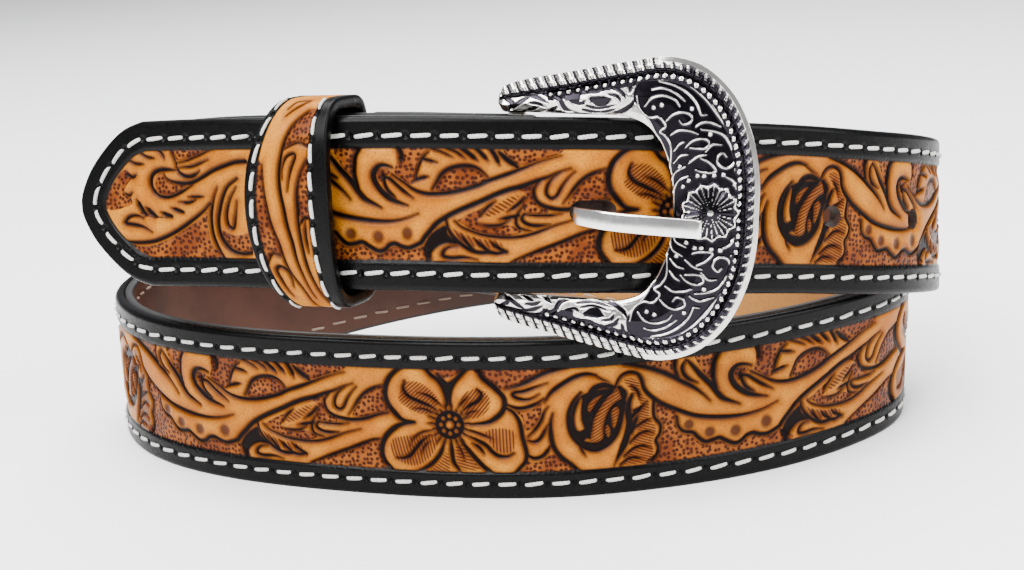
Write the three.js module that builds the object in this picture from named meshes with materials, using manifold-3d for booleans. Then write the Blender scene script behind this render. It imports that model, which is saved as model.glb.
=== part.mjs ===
// A western tooled leather belt, buckled and wound in two turns, standing on its lower edge.
// Millimetres, +Z up, the tooled front facing -Y.
import * as THREE from 'three';
import { mergeVertices } from 'three/addons/utils/BufferGeometryUtils.js';
import Module from 'manifold-3d';

const wasm = await Module();
wasm.setup();

// The strap
const strapWidth = 38.1;
const outerLeather = 2.4;
const liningLeather = 2.0;
const edgeRound = 1.2;
const tipLength = 18.5;
const holeDiameter = 5;
const holeSpacing = 29.3;
const holeCount = 5;
const holeDrop = 1.2;          // the holes lie a little below the centre line
const sectionStep = 7;         // spacing of the strap's sections

// Coil
const coilWidth = 218;
const coilDepth = 117;
const coilRise = 53;
const tipPastBar = 106;        // free end, measured from its point to the buckle's bar
const floorPress = 0.4;        // how far the resting edge is pressed flat

// Fits
const clearance = 0.3;         // between pieces that lie on each other
const lieGap = 1.5;            // between the free end and the strap behind it

// Buckle
const barDiameter = 4;
const frameLength = 56.7;
const frameHeight = 65.2;
const windowSlack = 0.85;      // between the strap's edge and the frame's arm
const ropeWidth = 2;
const flangeWidth = 1.2;
const buckleSwing = 2.5;       // degrees, the frame's far side lifts off the strap
const tongueWidth = 4.1;
const tongueThickness = 2.4;
const tongueReach = 40.6;      // from the bar to the tongue's end
const tongueDrop = 2.2;        // the tongue points slightly down
const holeAhead = 16.7;        // from the bar to the hole in use
const rosetteRadius = 5.6;
const rosetteHeight = 0.3;

// Fold round the bar
const foldLength = 31;
const foldSettle = 12;         // length in which the fold closes on the strap
const slotPastBar = 7;
const studSpread = 19;         // between the two studs
const studFromBar = 19;
const studDiameter = 4.4;
const studHeadDiameter = 10;
const studHeadHeight = 1.4;
const studFaceHeight = 0.8;

// Keeper
const keeperLength = 19.5;
const keeperWall = 2.9;
const keeperSlack = 1.5;
const keeperBulge = 1.3;
const keeperFromTip = 57;
const keeperTilt = 6;
const keeperTwist = 3;
const keeperCorner = 4;
const keeperInnerCorner = 1.4;
const keeperEdge = 0.5;

const strapThickness = outerLeather + clearance + liningLeather;
const barRadius = barDiameter / 2;
const foldRadius = barRadius + clearance + outerLeather;
const billetLevel = foldRadius + lieGap + strapThickness;

const radians = THREE.MathUtils.degToRad;

// The strap's lower edge, from the tip to the left turn behind it.
// across: share of coilWidth, back: share of coilDepth, rise: share of coilRise, lean: degrees inward.
const strapStations = [
  { across: -0.417, back: 0.212, rise: 0.953, lean: 8.0 },
  { across: -0.362, back: 0.164, rise: 0.968, lean: 8.0 },
  { across: -0.295, back: 0.108, rise: 0.983, lean: 7.0 },
  { across: -0.224, back: 0.050, rise: 0.994, lean: 5.0 },
  { across: -0.146, back: -0.003, rise: 1.000, lean: 4.2 },
  { across: -0.057, back: -0.045, rise: 0.998, lean: 4.9 },
  { across: 0.033, back: -0.065, rise: 0.979, lean: 6.0 },
  { across: 0.148, back: -0.052, rise: 0.943, lean: 6.3 },
  { across: 0.257, back: 0.003, rise: 0.881, lean: 6.0 },
  { across: 0.341, back: 0.071, rise: 0.821, lean: 5.7 },
  { across: 0.418, back: 0.146, rise: 0.753, lean: 5.4 },
  { across: 0.471, back: 0.224, rise: 0.698, lean: 4.8 },
  { across: 0.513, back: 0.322, rise: 0.636, lean: 3.2 },
  { across: 0.541, back: 0.449, rise: 0.562, lean: 0.6 },
  { across: 0.545, back: 0.564, rise: 0.494, lean: -1.2 },
  { across: 0.525, back: 0.692, rise: 0.436, lean: -0.8 },
  { across: 0.470, back: 0.800, rise: 0.402, lean: 0.0 },
  { across: 0.372, back: 0.876, rise: 0.388, lean: 0.0 },
  { across: 0.239, back: 0.914, rise: 0.379, lean: 0.0 },
  { across: 0.092, back: 0.930, rise: 0.362, lean: 0.0 },
  { across: -0.055, back: 0.929, rise: 0.312, lean: 0.0 },
  { across: -0.202, back: 0.905, rise: 0.218, lean: 0.0 },
  { across: -0.330, back: 0.855, rise: 0.106, lean: 0.3 },
  { across: -0.411, back: 0.772, rise: 0.032, lean: 1.0 },
  { across: -0.446, back: 0.650, rise: 0.004, lean: 1.8 },
  { across: -0.434, back: 0.508, rise: 0.000, lean: 1.2 },
  { across: -0.386, back: 0.355, rise: 0.000, lean: 0.8 },
  { across: -0.298, back: 0.219, rise: 0.000, lean: 1.2 },
  { across: -0.152, back: 0.097, rise: 0.000, lean: 2.2 },
  { across: 0.003, back: 0.018, rise: 0.000, lean: 2.1 },
  { across: 0.085, back: 0.003, rise: 0.000, lean: 1.0 },
  { across: 0.162, back: 0.013, rise: 0.000, lean: 0.6 },
  { across: 0.317, back: 0.091, rise: 0.000, lean: 0.8 },
  { across: 0.4185, back: 0.207, rise: 0.000, lean: -1.0 },
  { across: 0.481, back: 0.340, rise: 0.000, lean: -2.5 },
  { across: 0.499, back: 0.465, rise: 0.000, lean: -2.2 },
  { across: 0.490, back: 0.600, rise: 0.004, lean: -1.0 },
  { across: 0.450, back: 0.712, rise: 0.038, lean: 0.0 },
  { across: 0.374, back: 0.786, rise: 0.113, lean: 0.0 },
  { across: 0.266, back: 0.832, rise: 0.217, lean: 0.0 },
  { across: 0.110, back: 0.853, rise: 0.358, lean: 0.0 },
  { across: -0.062, back: 0.848, rise: 0.502, lean: 0.0 },
  { across: -0.206, back: 0.806, rise: 0.625, lean: 0.2 },
  { across: -0.301, back: 0.725, rise: 0.710, lean: 0.8 },
  { across: -0.352, back: 0.602, rise: 0.770, lean: 2.2 },
  { across: -0.366, back: 0.461, rise: 0.822, lean: 4.2 },
  { across: -0.349, back: 0.330, rise: 0.880, lean: 6.0 },
];

// Where the strap passes behind the free end, as shares of the way from the tip to the bar.
const behindShares = [0.29, 0.42, 0.58, 0.74, 0.88, 1];

// The tip's half width along its length, both as shares.
const tipOutline = [
  { along: 0, half: 0.06 },
  { along: 0.05, half: 0.22 },
  { along: 0.2, half: 0.47 },
  { along: 0.43, half: 0.71 },
  { along: 0.71, half: 0.91 },
  { along: 1, half: 1 },
];

// Upper half of the buckle frame from the arm's end to the far side's middle.
// outerAlong and innerAlong: shares of frameLength from the bar, outerUp: share of half the height,
// innerUp: share of half the window, front and back: shares of the free end's height over the bar.
const frameRows = [
  { outerAlong: -0.069, outerUp: 0.716, innerAlong: -0.069, innerUp: 1.075, front: 0.34, back: -0.12 },
  { outerAlong: -0.048, outerUp: 0.776, innerAlong: -0.050, innerUp: 1.003, front: 0.42, back: -0.20 },
  { outerAlong: 0.035, outerUp: 0.825, innerAlong: 0.035, innerUp: 1.0, front: 0.51, back: -0.20 },
  { outerAlong: 0.159, outerUp: 0.868, innerAlong: 0.159, innerUp: 1.0, front: 0.68, back: 0.06 },
  { outerAlong: 0.300, outerUp: 0.919, innerAlong: 0.300, innerUp: 1.0, front: 0.83, back: 0.34 },
  { outerAlong: 0.441, outerUp: 0.966, innerAlong: 0.420, innerUp: 0.995, front: 0.95, back: 0.66 },
  { outerAlong: 0.582, outerUp: 1.0, innerAlong: 0.497, innerUp: 0.915, front: 1.02, back: 0.76 },
  { outerAlong: 0.711, outerUp: 0.938, innerAlong: 0.550, innerUp: 0.755, front: 1.05, back: 0.72 },
  { outerAlong: 0.822, outerUp: 0.767, innerAlong: 0.582, innerUp: 0.550, front: 1.05, back: 0.69 },
  { outerAlong: 0.896, outerUp: 0.506, innerAlong: 0.600, innerUp: 0.345, front: 1.04, back: 0.67 },
  { outerAlong: 0.928, outerUp: 0.233, innerAlong: 0.608, innerUp: 0.150, front: 1.03, back: 0.66 },
];

// The tongue from the bar to its end: along as a share of its reach, level as a share of billetLevel.
const tongueRows = [
  { along: 0.13, level: 0.325 },
  { along: 0.28, level: 0.50 },
  { along: 0.41, level: 0.86 },
  { along: 0.53, level: 1.10 },
  { along: 0.72, level: 1.21 },
  { along: 1, level: 1.19 },
];

function naturalSpline(knots, values) {
  const last = knots.length - 1;
  const slope = new Array(last + 1).fill(0);
  const bend = new Array(last + 1).fill(0);
  for (let i = 1; i < last; i += 1) {
    const before = knots[i] - knots[i - 1];
    const after = knots[i + 1] - knots[i];
    const rise = 6 * ((values[i + 1] - values[i]) / after - (values[i] - values[i - 1]) / before);
    const pivot = 2 * (before + after) - before * slope[i - 1];
    slope[i] = after / pivot;
    bend[i] = (rise - before * bend[i - 1]) / pivot;
  }
  for (let i = last - 1; i > 0; i -= 1) bend[i] -= slope[i] * bend[i + 1];
  return (t) => {
    let i = 0;
    while (i < last - 1 && t > knots[i + 1]) i += 1;
    const width = knots[i + 1] - knots[i];
    const d = t - knots[i];
    const first = (values[i + 1] - values[i]) / width - (width * (2 * bend[i] + bend[i + 1])) / 6;
    return values[i] + d * first + (d * d * bend[i]) / 2 + (d ** 3 * (bend[i + 1] - bend[i])) / (6 * width);
  };
}

// A route gives, at each distance, the lower edge of the grain face and the strap's three directions.
function makeRoute(points) {
  const knots = [0];
  for (let i = 1; i < points.length; i += 1) {
    knots.push(knots[i - 1] + Math.hypot(points[i].x - points[i - 1].x, points[i].y - points[i - 1].y));
  }
  const follow = (key) => naturalSpline(knots, points.map((point) => point[key]));
  const [x, y, z, lean] = ['x', 'y', 'z', 'lean'].map(follow);
  const place = (t) => new THREE.Vector3(x(t), y(t), z(t));
  const probe = 0.01;
  return {
    length: knots[knots.length - 1],
    at(t) {
      const along = place(t + probe).sub(place(t - probe)).normalize();
      const level = new THREE.Vector3(along.y, -along.x, 0).normalize();
      const upright = new THREE.Vector3().crossVectors(level, along);
      const angle = radians(lean(t));
      const up = upright.clone().multiplyScalar(Math.cos(angle)).addScaledVector(level, -Math.sin(angle));
      const out = level.clone().multiplyScalar(Math.cos(angle)).addScaledVector(upright, Math.sin(angle));
      return { origin: place(t), along, up, out, lean: lean(t) };
    },
  };
}

const openStations = strapStations.map((row) => ({
  x: row.across * coilWidth,
  y: row.back * coilDepth,
  z: row.rise * coilRise - floorPress,
  lean: row.lean,
}));
const freeEnd = makeRoute(openStations);
const behindStations = behindShares.map((share) => {
  const frame = freeEnd.at(share * tipPastBar);
  const point = frame.origin.clone().addScaledVector(frame.out, -(strapThickness + lieGap));
  return { x: point.x, y: point.y, z: point.z, lean: frame.lean };
});
const route = makeRoute([...openStations, ...behindStations]);
const barFrame = route.at(route.length);

function loft(rings, capShape) {
  const count = rings[0].length;
  const positions = rings.flat().flatMap((p) => [p.x, p.y, p.z]);
  const index = [];
  for (let i = 0; i + 1 < rings.length; i += 1) {
    for (let j = 0; j < count; j += 1) {
      const a = i * count + j;
      const b = i * count + ((j + 1) % count);
      index.push(a, b, a + count, b, b + count, a + count);
    }
  }
  const caps = THREE.ShapeUtils.triangulateShape(capShape, []);
  const end = (rings.length - 1) * count;
  const turning = THREE.ShapeUtils.area(capShape) > 0;
  for (const [a, b, c] of caps) {
    if (turning) index.push(a, c, b, end + a, end + b, end + c);
    else index.push(a, b, c, end + a, end + c, end + b);
  }
  const geometry = new THREE.BufferGeometry();
  geometry.setAttribute('position', new THREE.Float32BufferAttribute(positions, 3));
  geometry.setIndex(index);
  return faceOut(geometry);
}

function faceOut(geometry) {
  const { position } = geometry.attributes;
  const index = geometry.index.array;
  const [a, b, c] = [0, 1, 2].map(() => new THREE.Vector3());
  let volume = 0;
  for (let i = 0; i < index.length; i += 3) {
    a.fromBufferAttribute(position, index[i]);
    b.fromBufferAttribute(position, index[i + 1]);
    c.fromBufferAttribute(position, index[i + 2]);
    volume += a.dot(b.cross(c));
  }
  if (volume > 0) return geometry;
  for (let i = 0; i < index.length; i += 3) [index[i], index[i + 1]] = [index[i + 1], index[i]];
  return geometry;
}

function toSolid(geometry) {
  const bare = geometry.clone();
  bare.deleteAttribute('normal');
  bare.deleteAttribute('uv');
  const merged = mergeVertices(bare, 1e-4);
  return new wasm.Manifold(new wasm.Mesh({
    numProp: 3,
    vertProperties: new Float32Array(merged.attributes.position.array),
    triVerts: new Uint32Array(merged.index.array),
  }));
}

function toGeometry(solid) {
  const mesh = solid.getMesh();
  const geometry = new THREE.BufferGeometry();
  geometry.setAttribute('position', new THREE.BufferAttribute(new Float32Array(mesh.vertProperties), 3));
  geometry.setIndex(new THREE.BufferAttribute(new Uint32Array(mesh.triVerts), 1));
  return geometry;
}

function cut(solid, ...tools) {
  return tools.reduce((rest, tool) => rest.subtract(tool), solid);
}

// Places of a frame: distances along, up and out from its origin.
function placeIn(frame, along, up, out) {
  return frame.origin.clone()
    .addScaledVector(frame.along, along)
    .addScaledVector(frame.up, up)
    .addScaledVector(frame.out, out);
}

function frameMatrix(frame, along, up, out) {
  return new THREE.Matrix4()
    .makeBasis(frame.along, frame.up, frame.out)
    .setPosition(placeIn(frame, along, up, out));
}

function halfWidthAt(distance) {
  const share = distance / tipLength;
  if (share >= 1) return strapWidth / 2;
  const next = Math.max(1, tipOutline.findIndex((row) => row.along > share));
  const [low, high] = [tipOutline[next - 1], tipOutline[next]];
  const blend = (share - low.along) / (high.along - low.along);
  return (strapWidth / 2) * THREE.MathUtils.lerp(low.half, high.half, blend);
}

const softShare = 0.3;         // how far a rounded edge's middle stands in from its corner

function grainSection(half) {
  const round = Math.min(edgeRound, half * 0.6);
  const [low, high] = [strapWidth / 2 - half, strapWidth / 2 + half];
  const soft = round * softShare;
  return [[low, -outerLeather], [low, -round], [low + soft, -soft], [low + round, 0],
    [high - round, 0], [high - soft, -soft], [high, -round], [high, -outerLeather]];
}

function liningSection(half) {
  const round = Math.min(edgeRound, half * 0.6) / 2;
  const [low, high] = [strapWidth / 2 - half, strapWidth / 2 + half];
  const [face, back] = [-(outerLeather + clearance), -strapThickness];
  return [[high, face], [low, face], [low, back + round], [low + round, back],
    [high - round, back], [high, back + round]];
}

function sectionRing(frame, section) {
  return section.map(([up, out]) => placeIn(frame, 0, up, out));
}

function toVectors(section) {
  return section.map(([x, y]) => new THREE.Vector2(x, y));
}

// Both leathers are cut at the same distances, so their faces stay parallel.
const liningEnd = route.length - slotPastBar - 2;

function routeDistances() {
  const distances = tipOutline.map((row) => row.along * tipLength);
  const steps = Math.ceil((liningEnd - tipLength) / sectionStep);
  for (let i = 1; i <= steps; i += 1) distances.push(tipLength + ((liningEnd - tipLength) * i) / steps);
  return distances;
}

function foldFrames() {
  const frames = [];
  const arcSteps = 8;
  const centre = placeIn(barFrame, 0, 0, -foldRadius);
  for (let i = 1; i < arcSteps; i += 1) {
    const angle = (Math.PI * i) / arcSteps;
    const out = barFrame.out.clone().multiplyScalar(Math.cos(angle))
      .addScaledVector(barFrame.along, Math.sin(angle));
    frames.push({ ...barFrame, origin: centre.clone().addScaledVector(out, foldRadius), out });
  }
  const closed = strapThickness + clearance + outerLeather;
  const legSteps = 7;
  for (let i = 0; i <= legSteps; i += 1) {
    const distance = (foldLength * i) / legSteps;
    const frame = route.at(route.length - distance);
    const settle = THREE.MathUtils.smoothstep(distance, 0, foldSettle);
    const depth = THREE.MathUtils.lerp(2 * foldRadius, closed, settle);
    frames.push({ ...frame, origin: placeIn(frame, 0, 0, -depth), out: frame.out.clone().negate() });
  }
  return frames;
}

function cylinderBetween(start, end, radius, sides) {
  const geometry = new THREE.CylinderGeometry(radius, radius, start.distanceTo(end), sides);
  const turn = new THREE.Quaternion().setFromUnitVectors(
    new THREE.Vector3(0, 1, 0), end.clone().sub(start).normalize());
  geometry.applyQuaternion(turn);
  const middle = start.clone().add(end).multiplyScalar(0.5);
  return geometry.translate(middle.x, middle.y, middle.z);
}

function strapHoles() {
  const middle = strapWidth / 2 - holeDrop;
  const holes = [];
  for (let i = 0; i < holeCount; i += 1) {
    const frame = route.at(tipPastBar + holeAhead + i * holeSpacing);
    const start = placeIn(frame, 0, middle, 1);
    const end = placeIn(frame, 0, middle, -strapThickness - 1);
    holes.push(toSolid(cylinderBetween(start, end, holeDiameter / 2, 14)));
  }
  return holes;
}

function studFrame(side) {
  const frame = route.at(route.length - studFromBar);
  const height = strapWidth / 2 + (side * studSpread) / 2;
  return { ...frame, origin: placeIn(frame, 0, height, 0) };
}

const stackDepth = strapThickness + clearance + outerLeather;

function studBore(side) {
  const frame = studFrame(side);
  return toSolid(cylinderBetween(
    placeIn(frame, 0, 0, lieGap / 2), placeIn(frame, 0, 0, -stackDepth - 1),
    studDiameter / 2 + clearance, 12));
}

function stud(side) {
  const frame = studFrame(side);
  const shaft = cylinderBetween(
    placeIn(frame, 0, 0, clearance + studFaceHeight / 2),
    placeIn(frame, 0, 0, -stackDepth - clearance - studHeadHeight / 2), studDiameter / 2, 12);
  const face = cylinderBetween(
    placeIn(frame, 0, 0, clearance), placeIn(frame, 0, 0, clearance + studFaceHeight),
    studHeadDiameter / 2, 16);
  const seat = stackDepth + 1.5 * clearance;
  const head = cylinderBetween(
    placeIn(frame, 0, 0, -seat), placeIn(frame, 0, 0, -seat - studHeadHeight), studHeadDiameter / 2, 16);
  return toGeometry(toSolid(shaft).add(toSolid(face)).add(toSolid(head)));
}

// The buckle's own frame: the bar's middle, along the window, up the bar and out of the strap.
function swing(frame, angle) {
  const [cosine, sine] = [Math.cos(angle), Math.sin(angle)];
  const along = frame.along.clone().multiplyScalar(cosine).addScaledVector(frame.out, sine);
  const out = frame.out.clone().multiplyScalar(cosine).addScaledVector(frame.along, -sine);
  return { ...frame, along, out };
}

const barMiddle = placeIn(barFrame, 0, strapWidth / 2, -foldRadius);
const buckle = swing({ ...barFrame, origin: barMiddle }, radians(buckleSwing));

// A frame section from the inner edge's back round the front to the outer edge's back.
function frameSection(width, front, back) {
  const flange = Math.min(flangeWidth, width * 0.16);
  const rope = Math.min(ropeWidth, width * 0.3);
  const field = width - flange - rope;
  const thick = front - back;
  const crown = Math.min(1.3, thick * 0.32);
  return [
    [0, back], [0, front - crown], [field * 0.14, front - crown * 0.35], [field * 0.5, front],
    [field * 0.86, front - crown * 0.35], [field, front - crown], [field + rope * 0.2, front - crown * 0.4],
    [field + rope * 0.8, front - crown * 0.5], [field + rope, front - crown * 1.3],
    [width, front - crown * 1.7], [width, back],
  ];
}

function frameRings() {
  const half = strapWidth / 2 + windowSlack;
  const scaled = (along, up, level) => new THREE.Vector3(along * frameLength, up, level * billetLevel);
  const upper = frameRows.map((row) => ({
    outer: scaled(row.outerAlong, (row.outerUp * frameHeight) / 2, row.front),
    inner: scaled(row.innerAlong, row.innerUp * half, row.back),
  }));
  const mirror = (p) => new THREE.Vector3(p.x, -p.y, p.z);
  const lower = upper.map((row) => ({ outer: mirror(row.outer), inner: mirror(row.inner) })).reverse();
  const last = { outer: upper.at(-1).outer.clone(), inner: upper.at(-1).inner.clone() };
  for (const p of [last.outer, last.inner]) p.y = 0;
  last.outer.x = frameLength * 0.931;
  last.inner.x = frameLength * 0.61;
  const rows = [...upper, last, ...lower];
  const outer = new THREE.CatmullRomCurve3(rows.map((row) => row.outer), false, 'centripetal');
  const inner = new THREE.CatmullRomCurve3(rows.map((row) => row.inner), false, 'centripetal');
  const steps = 2 * (rows.length - 1);
  const rings = [];
  let cap = null;
  for (let i = 0; i <= steps; i += 1) {
    const outside = outer.getPoint(i / steps);
    const inside = inner.getPoint(i / steps);
    const width = Math.hypot(outside.x - inside.x, outside.y - inside.y);
    const section = frameSection(width, outside.z, inside.z);
    cap = cap ?? section;
    rings.push(section.map(([step, level]) => {
      const share = step / width;
      return placeIn(buckle,
        THREE.MathUtils.lerp(inside.x, outside.x, share),
        THREE.MathUtils.lerp(inside.y, outside.y, share), level);
    }));
  }
  return { rings, cap };
}

function rosette() {
  const petals = 9;
  const shape = new THREE.Shape();
  const points = petals * 4;
  for (let i = 0; i < points; i += 1) {
    const angle = (2 * Math.PI * i) / points;
    const radius = rosetteRadius * (0.86 + 0.14 * Math.cos(petals * angle));
    if (i === 0) shape.moveTo(radius * Math.cos(angle), radius * Math.sin(angle));
    else shape.lineTo(radius * Math.cos(angle), radius * Math.sin(angle));
  }
  const sink = 1.6;
  const geometry = new THREE.ExtrudeGeometry(shape, { depth: sink + rosetteHeight, bevelEnabled: false });
  const front = frameRows.at(-1).front * billetLevel;
  return toSolid(geometry.applyMatrix4(frameMatrix(buckle, frameLength * 0.775, 0, front - sink)));
}

function buckleFrame() {
  const { rings, cap } = frameRings();
  const reach = strapWidth / 2 + windowSlack + 2.5;
  const bar = cylinderBetween(placeIn(buckle, 0, -reach, 0), placeIn(buckle, 0, reach, 0), barRadius, 12);
  return toGeometry(toSolid(loft(rings, toVectors(cap))).add(toSolid(bar)).add(rosette()));
}

// The tongue's centre line, curled round the bar and then out through the hole.
function tonguePoints() {
  const radius = barRadius + clearance + tongueThickness / 2;
  const points = [];
  const curlSteps = 9;
  for (let i = 0; i <= curlSteps; i += 1) {
    const angle = radians(THREE.MathUtils.lerp(340, 90, i / curlSteps));
    points.push([radius * Math.cos(angle), radius * Math.sin(angle)]);
  }
  const shank = new THREE.CatmullRomCurve3([
    new THREE.Vector3(0, radius, 0),
    ...tongueRows.map((row) => new THREE.Vector3(row.along * tongueReach, row.level * billetLevel, 0)),
  ], false, 'centripetal');
  const shankSteps = 20;
  for (let i = 1; i <= shankSteps; i += 1) {
    const p = shank.getPoint(i / shankSteps);
    points.push([p.x, p.y]);
  }
  return points;
}

function tongueBody(grow) {
  const points = tonguePoints();
  const [wide, thick] = [tongueWidth / 2 + grow, tongueThickness / 2 + grow];
  const bevel = 0.6;
  const section = [[-wide, -thick], [wide, -thick], [wide, thick - bevel], [wide - bevel, thick],
    [-wide + bevel, thick], [-wide, thick - bevel]];
  const rings = points.map(([x, level], i) => {
    const [before, after] = [points[Math.max(0, i - 1)], points[Math.min(points.length - 1, i + 1)]];
    const length = Math.hypot(after[0] - before[0], after[1] - before[1]);
    const [dx, dz] = [(after[0] - before[0]) / length, (after[1] - before[1]) / length];
    const drop = -holeDrop - (tongueDrop * Math.max(0, x)) / tongueReach;
    return section.map(([side, lift]) => placeIn(buckle, x - dz * lift, drop + side, level + dx * lift));
  });
  return toSolid(loft(rings, toVectors(section)));
}

function tongueSlot() {
  const width = tongueWidth + 2;
  const length = slotPastBar + foldRadius + 3;
  const depth = 2 * foldRadius + 1 + lieGap / 2;
  const box = new THREE.BoxGeometry(length, width, depth);
  return toSolid(box.applyMatrix4(frameMatrix(
    barFrame, foldRadius + 3 - length / 2, strapWidth / 2 - holeDrop, lieGap / 2 - depth / 2)));
}

function belowFloor() {
  const slab = new THREE.BoxGeometry(2 * coilWidth, 4 * coilDepth, 10);
  return toSolid(slab.translate(0, 0, -5));
}

const cuts = [...strapHoles(), tongueBody(clearance), belowFloor()];

function strapOuter() {
  const distances = [...routeDistances(), route.length];
  const rings = distances.map((distance) => (
    sectionRing(route.at(distance), grainSection(halfWidthAt(distance)))));
  for (const frame of foldFrames()) rings.push(sectionRing(frame, grainSection(strapWidth / 2)));
  const body = toSolid(loft(rings, toVectors(grainSection(strapWidth / 2))));
  return toGeometry(cut(body, ...cuts, tongueSlot(), studBore(1), studBore(-1)));
}

function strapLining() {
  const rings = routeDistances().map((distance) => (
    sectionRing(route.at(distance), liningSection(halfWidthAt(distance)))));
  const body = toSolid(loft(rings, toVectors(liningSection(strapWidth / 2))));
  return toGeometry(cut(body, ...cuts, studBore(1), studBore(-1)));
}

function roundedRing(shape, halfUp, low, high, corner, bulge) {
  const push = halfUp - corner;
  shape.moveTo(-push, low);
  shape.lineTo(push, low);
  shape.absarc(push, low + corner, corner, -Math.PI / 2, 0, false);
  shape.lineTo(halfUp, high - corner);
  shape.absarc(push, high - corner, corner, 0, Math.PI / 2, false);
  shape.quadraticCurveTo(0, high + 2 * bulge, -push, high);
  shape.absarc(-push, high - corner, corner, Math.PI / 2, Math.PI, false);
  shape.lineTo(-halfUp, low + corner);
  shape.absarc(-push, low + corner, corner, Math.PI, 1.5 * Math.PI, false);
  return shape;
}

function keeper() {
  const halfUp = strapWidth / 2 + keeperSlack;
  const low = -(2 * strapThickness + lieGap + keeperSlack);
  const high = keeperSlack;
  const outline = roundedRing(
    new THREE.Shape(), halfUp + keeperWall, low - keeperWall, high + keeperWall,
    keeperCorner, keeperBulge);
  outline.holes.push(roundedRing(new THREE.Path(), halfUp, low, high, keeperInnerCorner, keeperBulge));
  const geometry = new THREE.ExtrudeGeometry(outline, {
    depth: keeperLength - 2 * keeperEdge,
    bevelSize: keeperEdge,
    bevelOffset: -keeperEdge,
    bevelThickness: keeperEdge,
    bevelSegments: 1,
    curveSegments: 5,
  });
  geometry.translate(0, 0, keeperEdge - keeperLength / 2);
  const frame = freeEnd.at(keeperFromTip);
  const basis = new THREE.Matrix4().makeBasis(frame.up, frame.out, frame.along)
    .setPosition(placeIn(frame, 0, strapWidth / 2, 0));
  const pivot = (low + high) / 2;
  const turn = new THREE.Matrix4().makeTranslation(0, pivot, 0)
    .multiply(new THREE.Matrix4().makeRotationFromEuler(
      new THREE.Euler(-radians(keeperTwist), radians(keeperTilt), 0)))
    .multiply(new THREE.Matrix4().makeTranslation(0, -pivot, 0));
  return toGeometry(toSolid(faceOut(mergeBare(geometry.applyMatrix4(basis.multiply(turn))))));
}

function mergeBare(geometry) {
  geometry.deleteAttribute('normal');
  geometry.deleteAttribute('uv');
  return mergeVertices(geometry, 1e-4);
}

const tooledLeather = { color: 0xa9602a, roughness: 0.42, metalness: 0 };
const liningHide = { color: 0x6b3a20, roughness: 0.75, metalness: 0 };
const castSilver = { color: 0xc9c5bb, roughness: 0.28, metalness: 1 };
const plainSteel = { color: 0xd8d6d0, roughness: 0.18, metalness: 1 };

const belt = new THREE.Group();

function addPiece(name, geometry, finish) {
  const mesh = new THREE.Mesh(geometry, new THREE.MeshStandardMaterial(finish));
  mesh.name = name;
  belt.add(mesh);
}

addPiece('strap_outer', strapOuter(), tooledLeather);
addPiece('strap_lining', strapLining(), liningHide);
addPiece('keeper', keeper(), tooledLeather);
addPiece('buckle_frame', buckleFrame(), castSilver);
addPiece('buckle_tongue', toGeometry(tongueBody(0)), plainSteel);
addPiece('fold_stud_upper', stud(1), plainSteel);
addPiece('fold_stud_lower', stud(-1), plainSteel);

// The origin is under the middle of the whole belt, on the surface that it stands on.
const box = new THREE.Box3().setFromObject(belt);
const middle = box.getCenter(new THREE.Vector3());
belt.position.set(-middle.x, -middle.y, -box.min.z);

export default belt;
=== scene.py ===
import math

import bpy
import numpy as np
from mathutils import Matrix, Vector


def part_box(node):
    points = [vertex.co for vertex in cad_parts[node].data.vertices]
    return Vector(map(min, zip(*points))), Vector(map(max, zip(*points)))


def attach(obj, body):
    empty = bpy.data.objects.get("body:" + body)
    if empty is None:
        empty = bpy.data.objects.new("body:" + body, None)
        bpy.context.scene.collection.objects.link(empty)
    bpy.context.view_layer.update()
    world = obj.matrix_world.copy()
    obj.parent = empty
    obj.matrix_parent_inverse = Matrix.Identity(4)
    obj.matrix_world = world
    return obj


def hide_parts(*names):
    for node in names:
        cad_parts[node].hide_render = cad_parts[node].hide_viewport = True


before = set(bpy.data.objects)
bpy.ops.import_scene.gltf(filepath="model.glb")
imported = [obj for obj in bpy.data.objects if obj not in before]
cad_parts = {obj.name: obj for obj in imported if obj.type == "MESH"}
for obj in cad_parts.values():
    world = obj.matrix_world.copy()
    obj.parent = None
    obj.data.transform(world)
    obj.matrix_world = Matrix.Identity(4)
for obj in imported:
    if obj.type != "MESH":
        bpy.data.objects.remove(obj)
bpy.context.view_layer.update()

# A western tooled belt, buckled and wound in two turns on a pale surface.
mm = 0.001               # lengths below are in millimetres

# the camera stands at the photograph's angle; its place is in the belt's own frame
view = {
    "place": (-0.318, -390.194, 143.796),
    "right": (0.9984, -0.0098, -0.0558),
    "up": (0.0564, 0.2605, 0.9638),
    "forward": (-0.0051, 0.9654, -0.2607),
    "lens": 56.43,
    "sensor": 36.0,
}

strap = {
    "width": 38.1,
    "outer": 2.4,
    "lining": 2.0,
    "gap": 0.3,
    "edgeRound": 1.25,
    "tipLength": 18.5,
    "borderWidth": 6.75,      # black border, from the strap's edge
    "stitchInset": 4.05,
    "barRadius": 2.0,         # the buckle's bar, which the strap turns round
    "holeRadius": 2.5,
    "rimDepth": 0.7,          # how far a hole's rim is pulled in
    "holeDrop": 1.2,
    "holeSpacing": 29.3,
    "holeCount": 5,
}
coil = {"width": 218, "depth": 117, "rise": 53, "press": 0.4, "tipPastBar": 106, "lieGap": 1.5}

half = strap["width"] / 2
thickness = strap["outer"] + strap["gap"] + strap["lining"]

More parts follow.
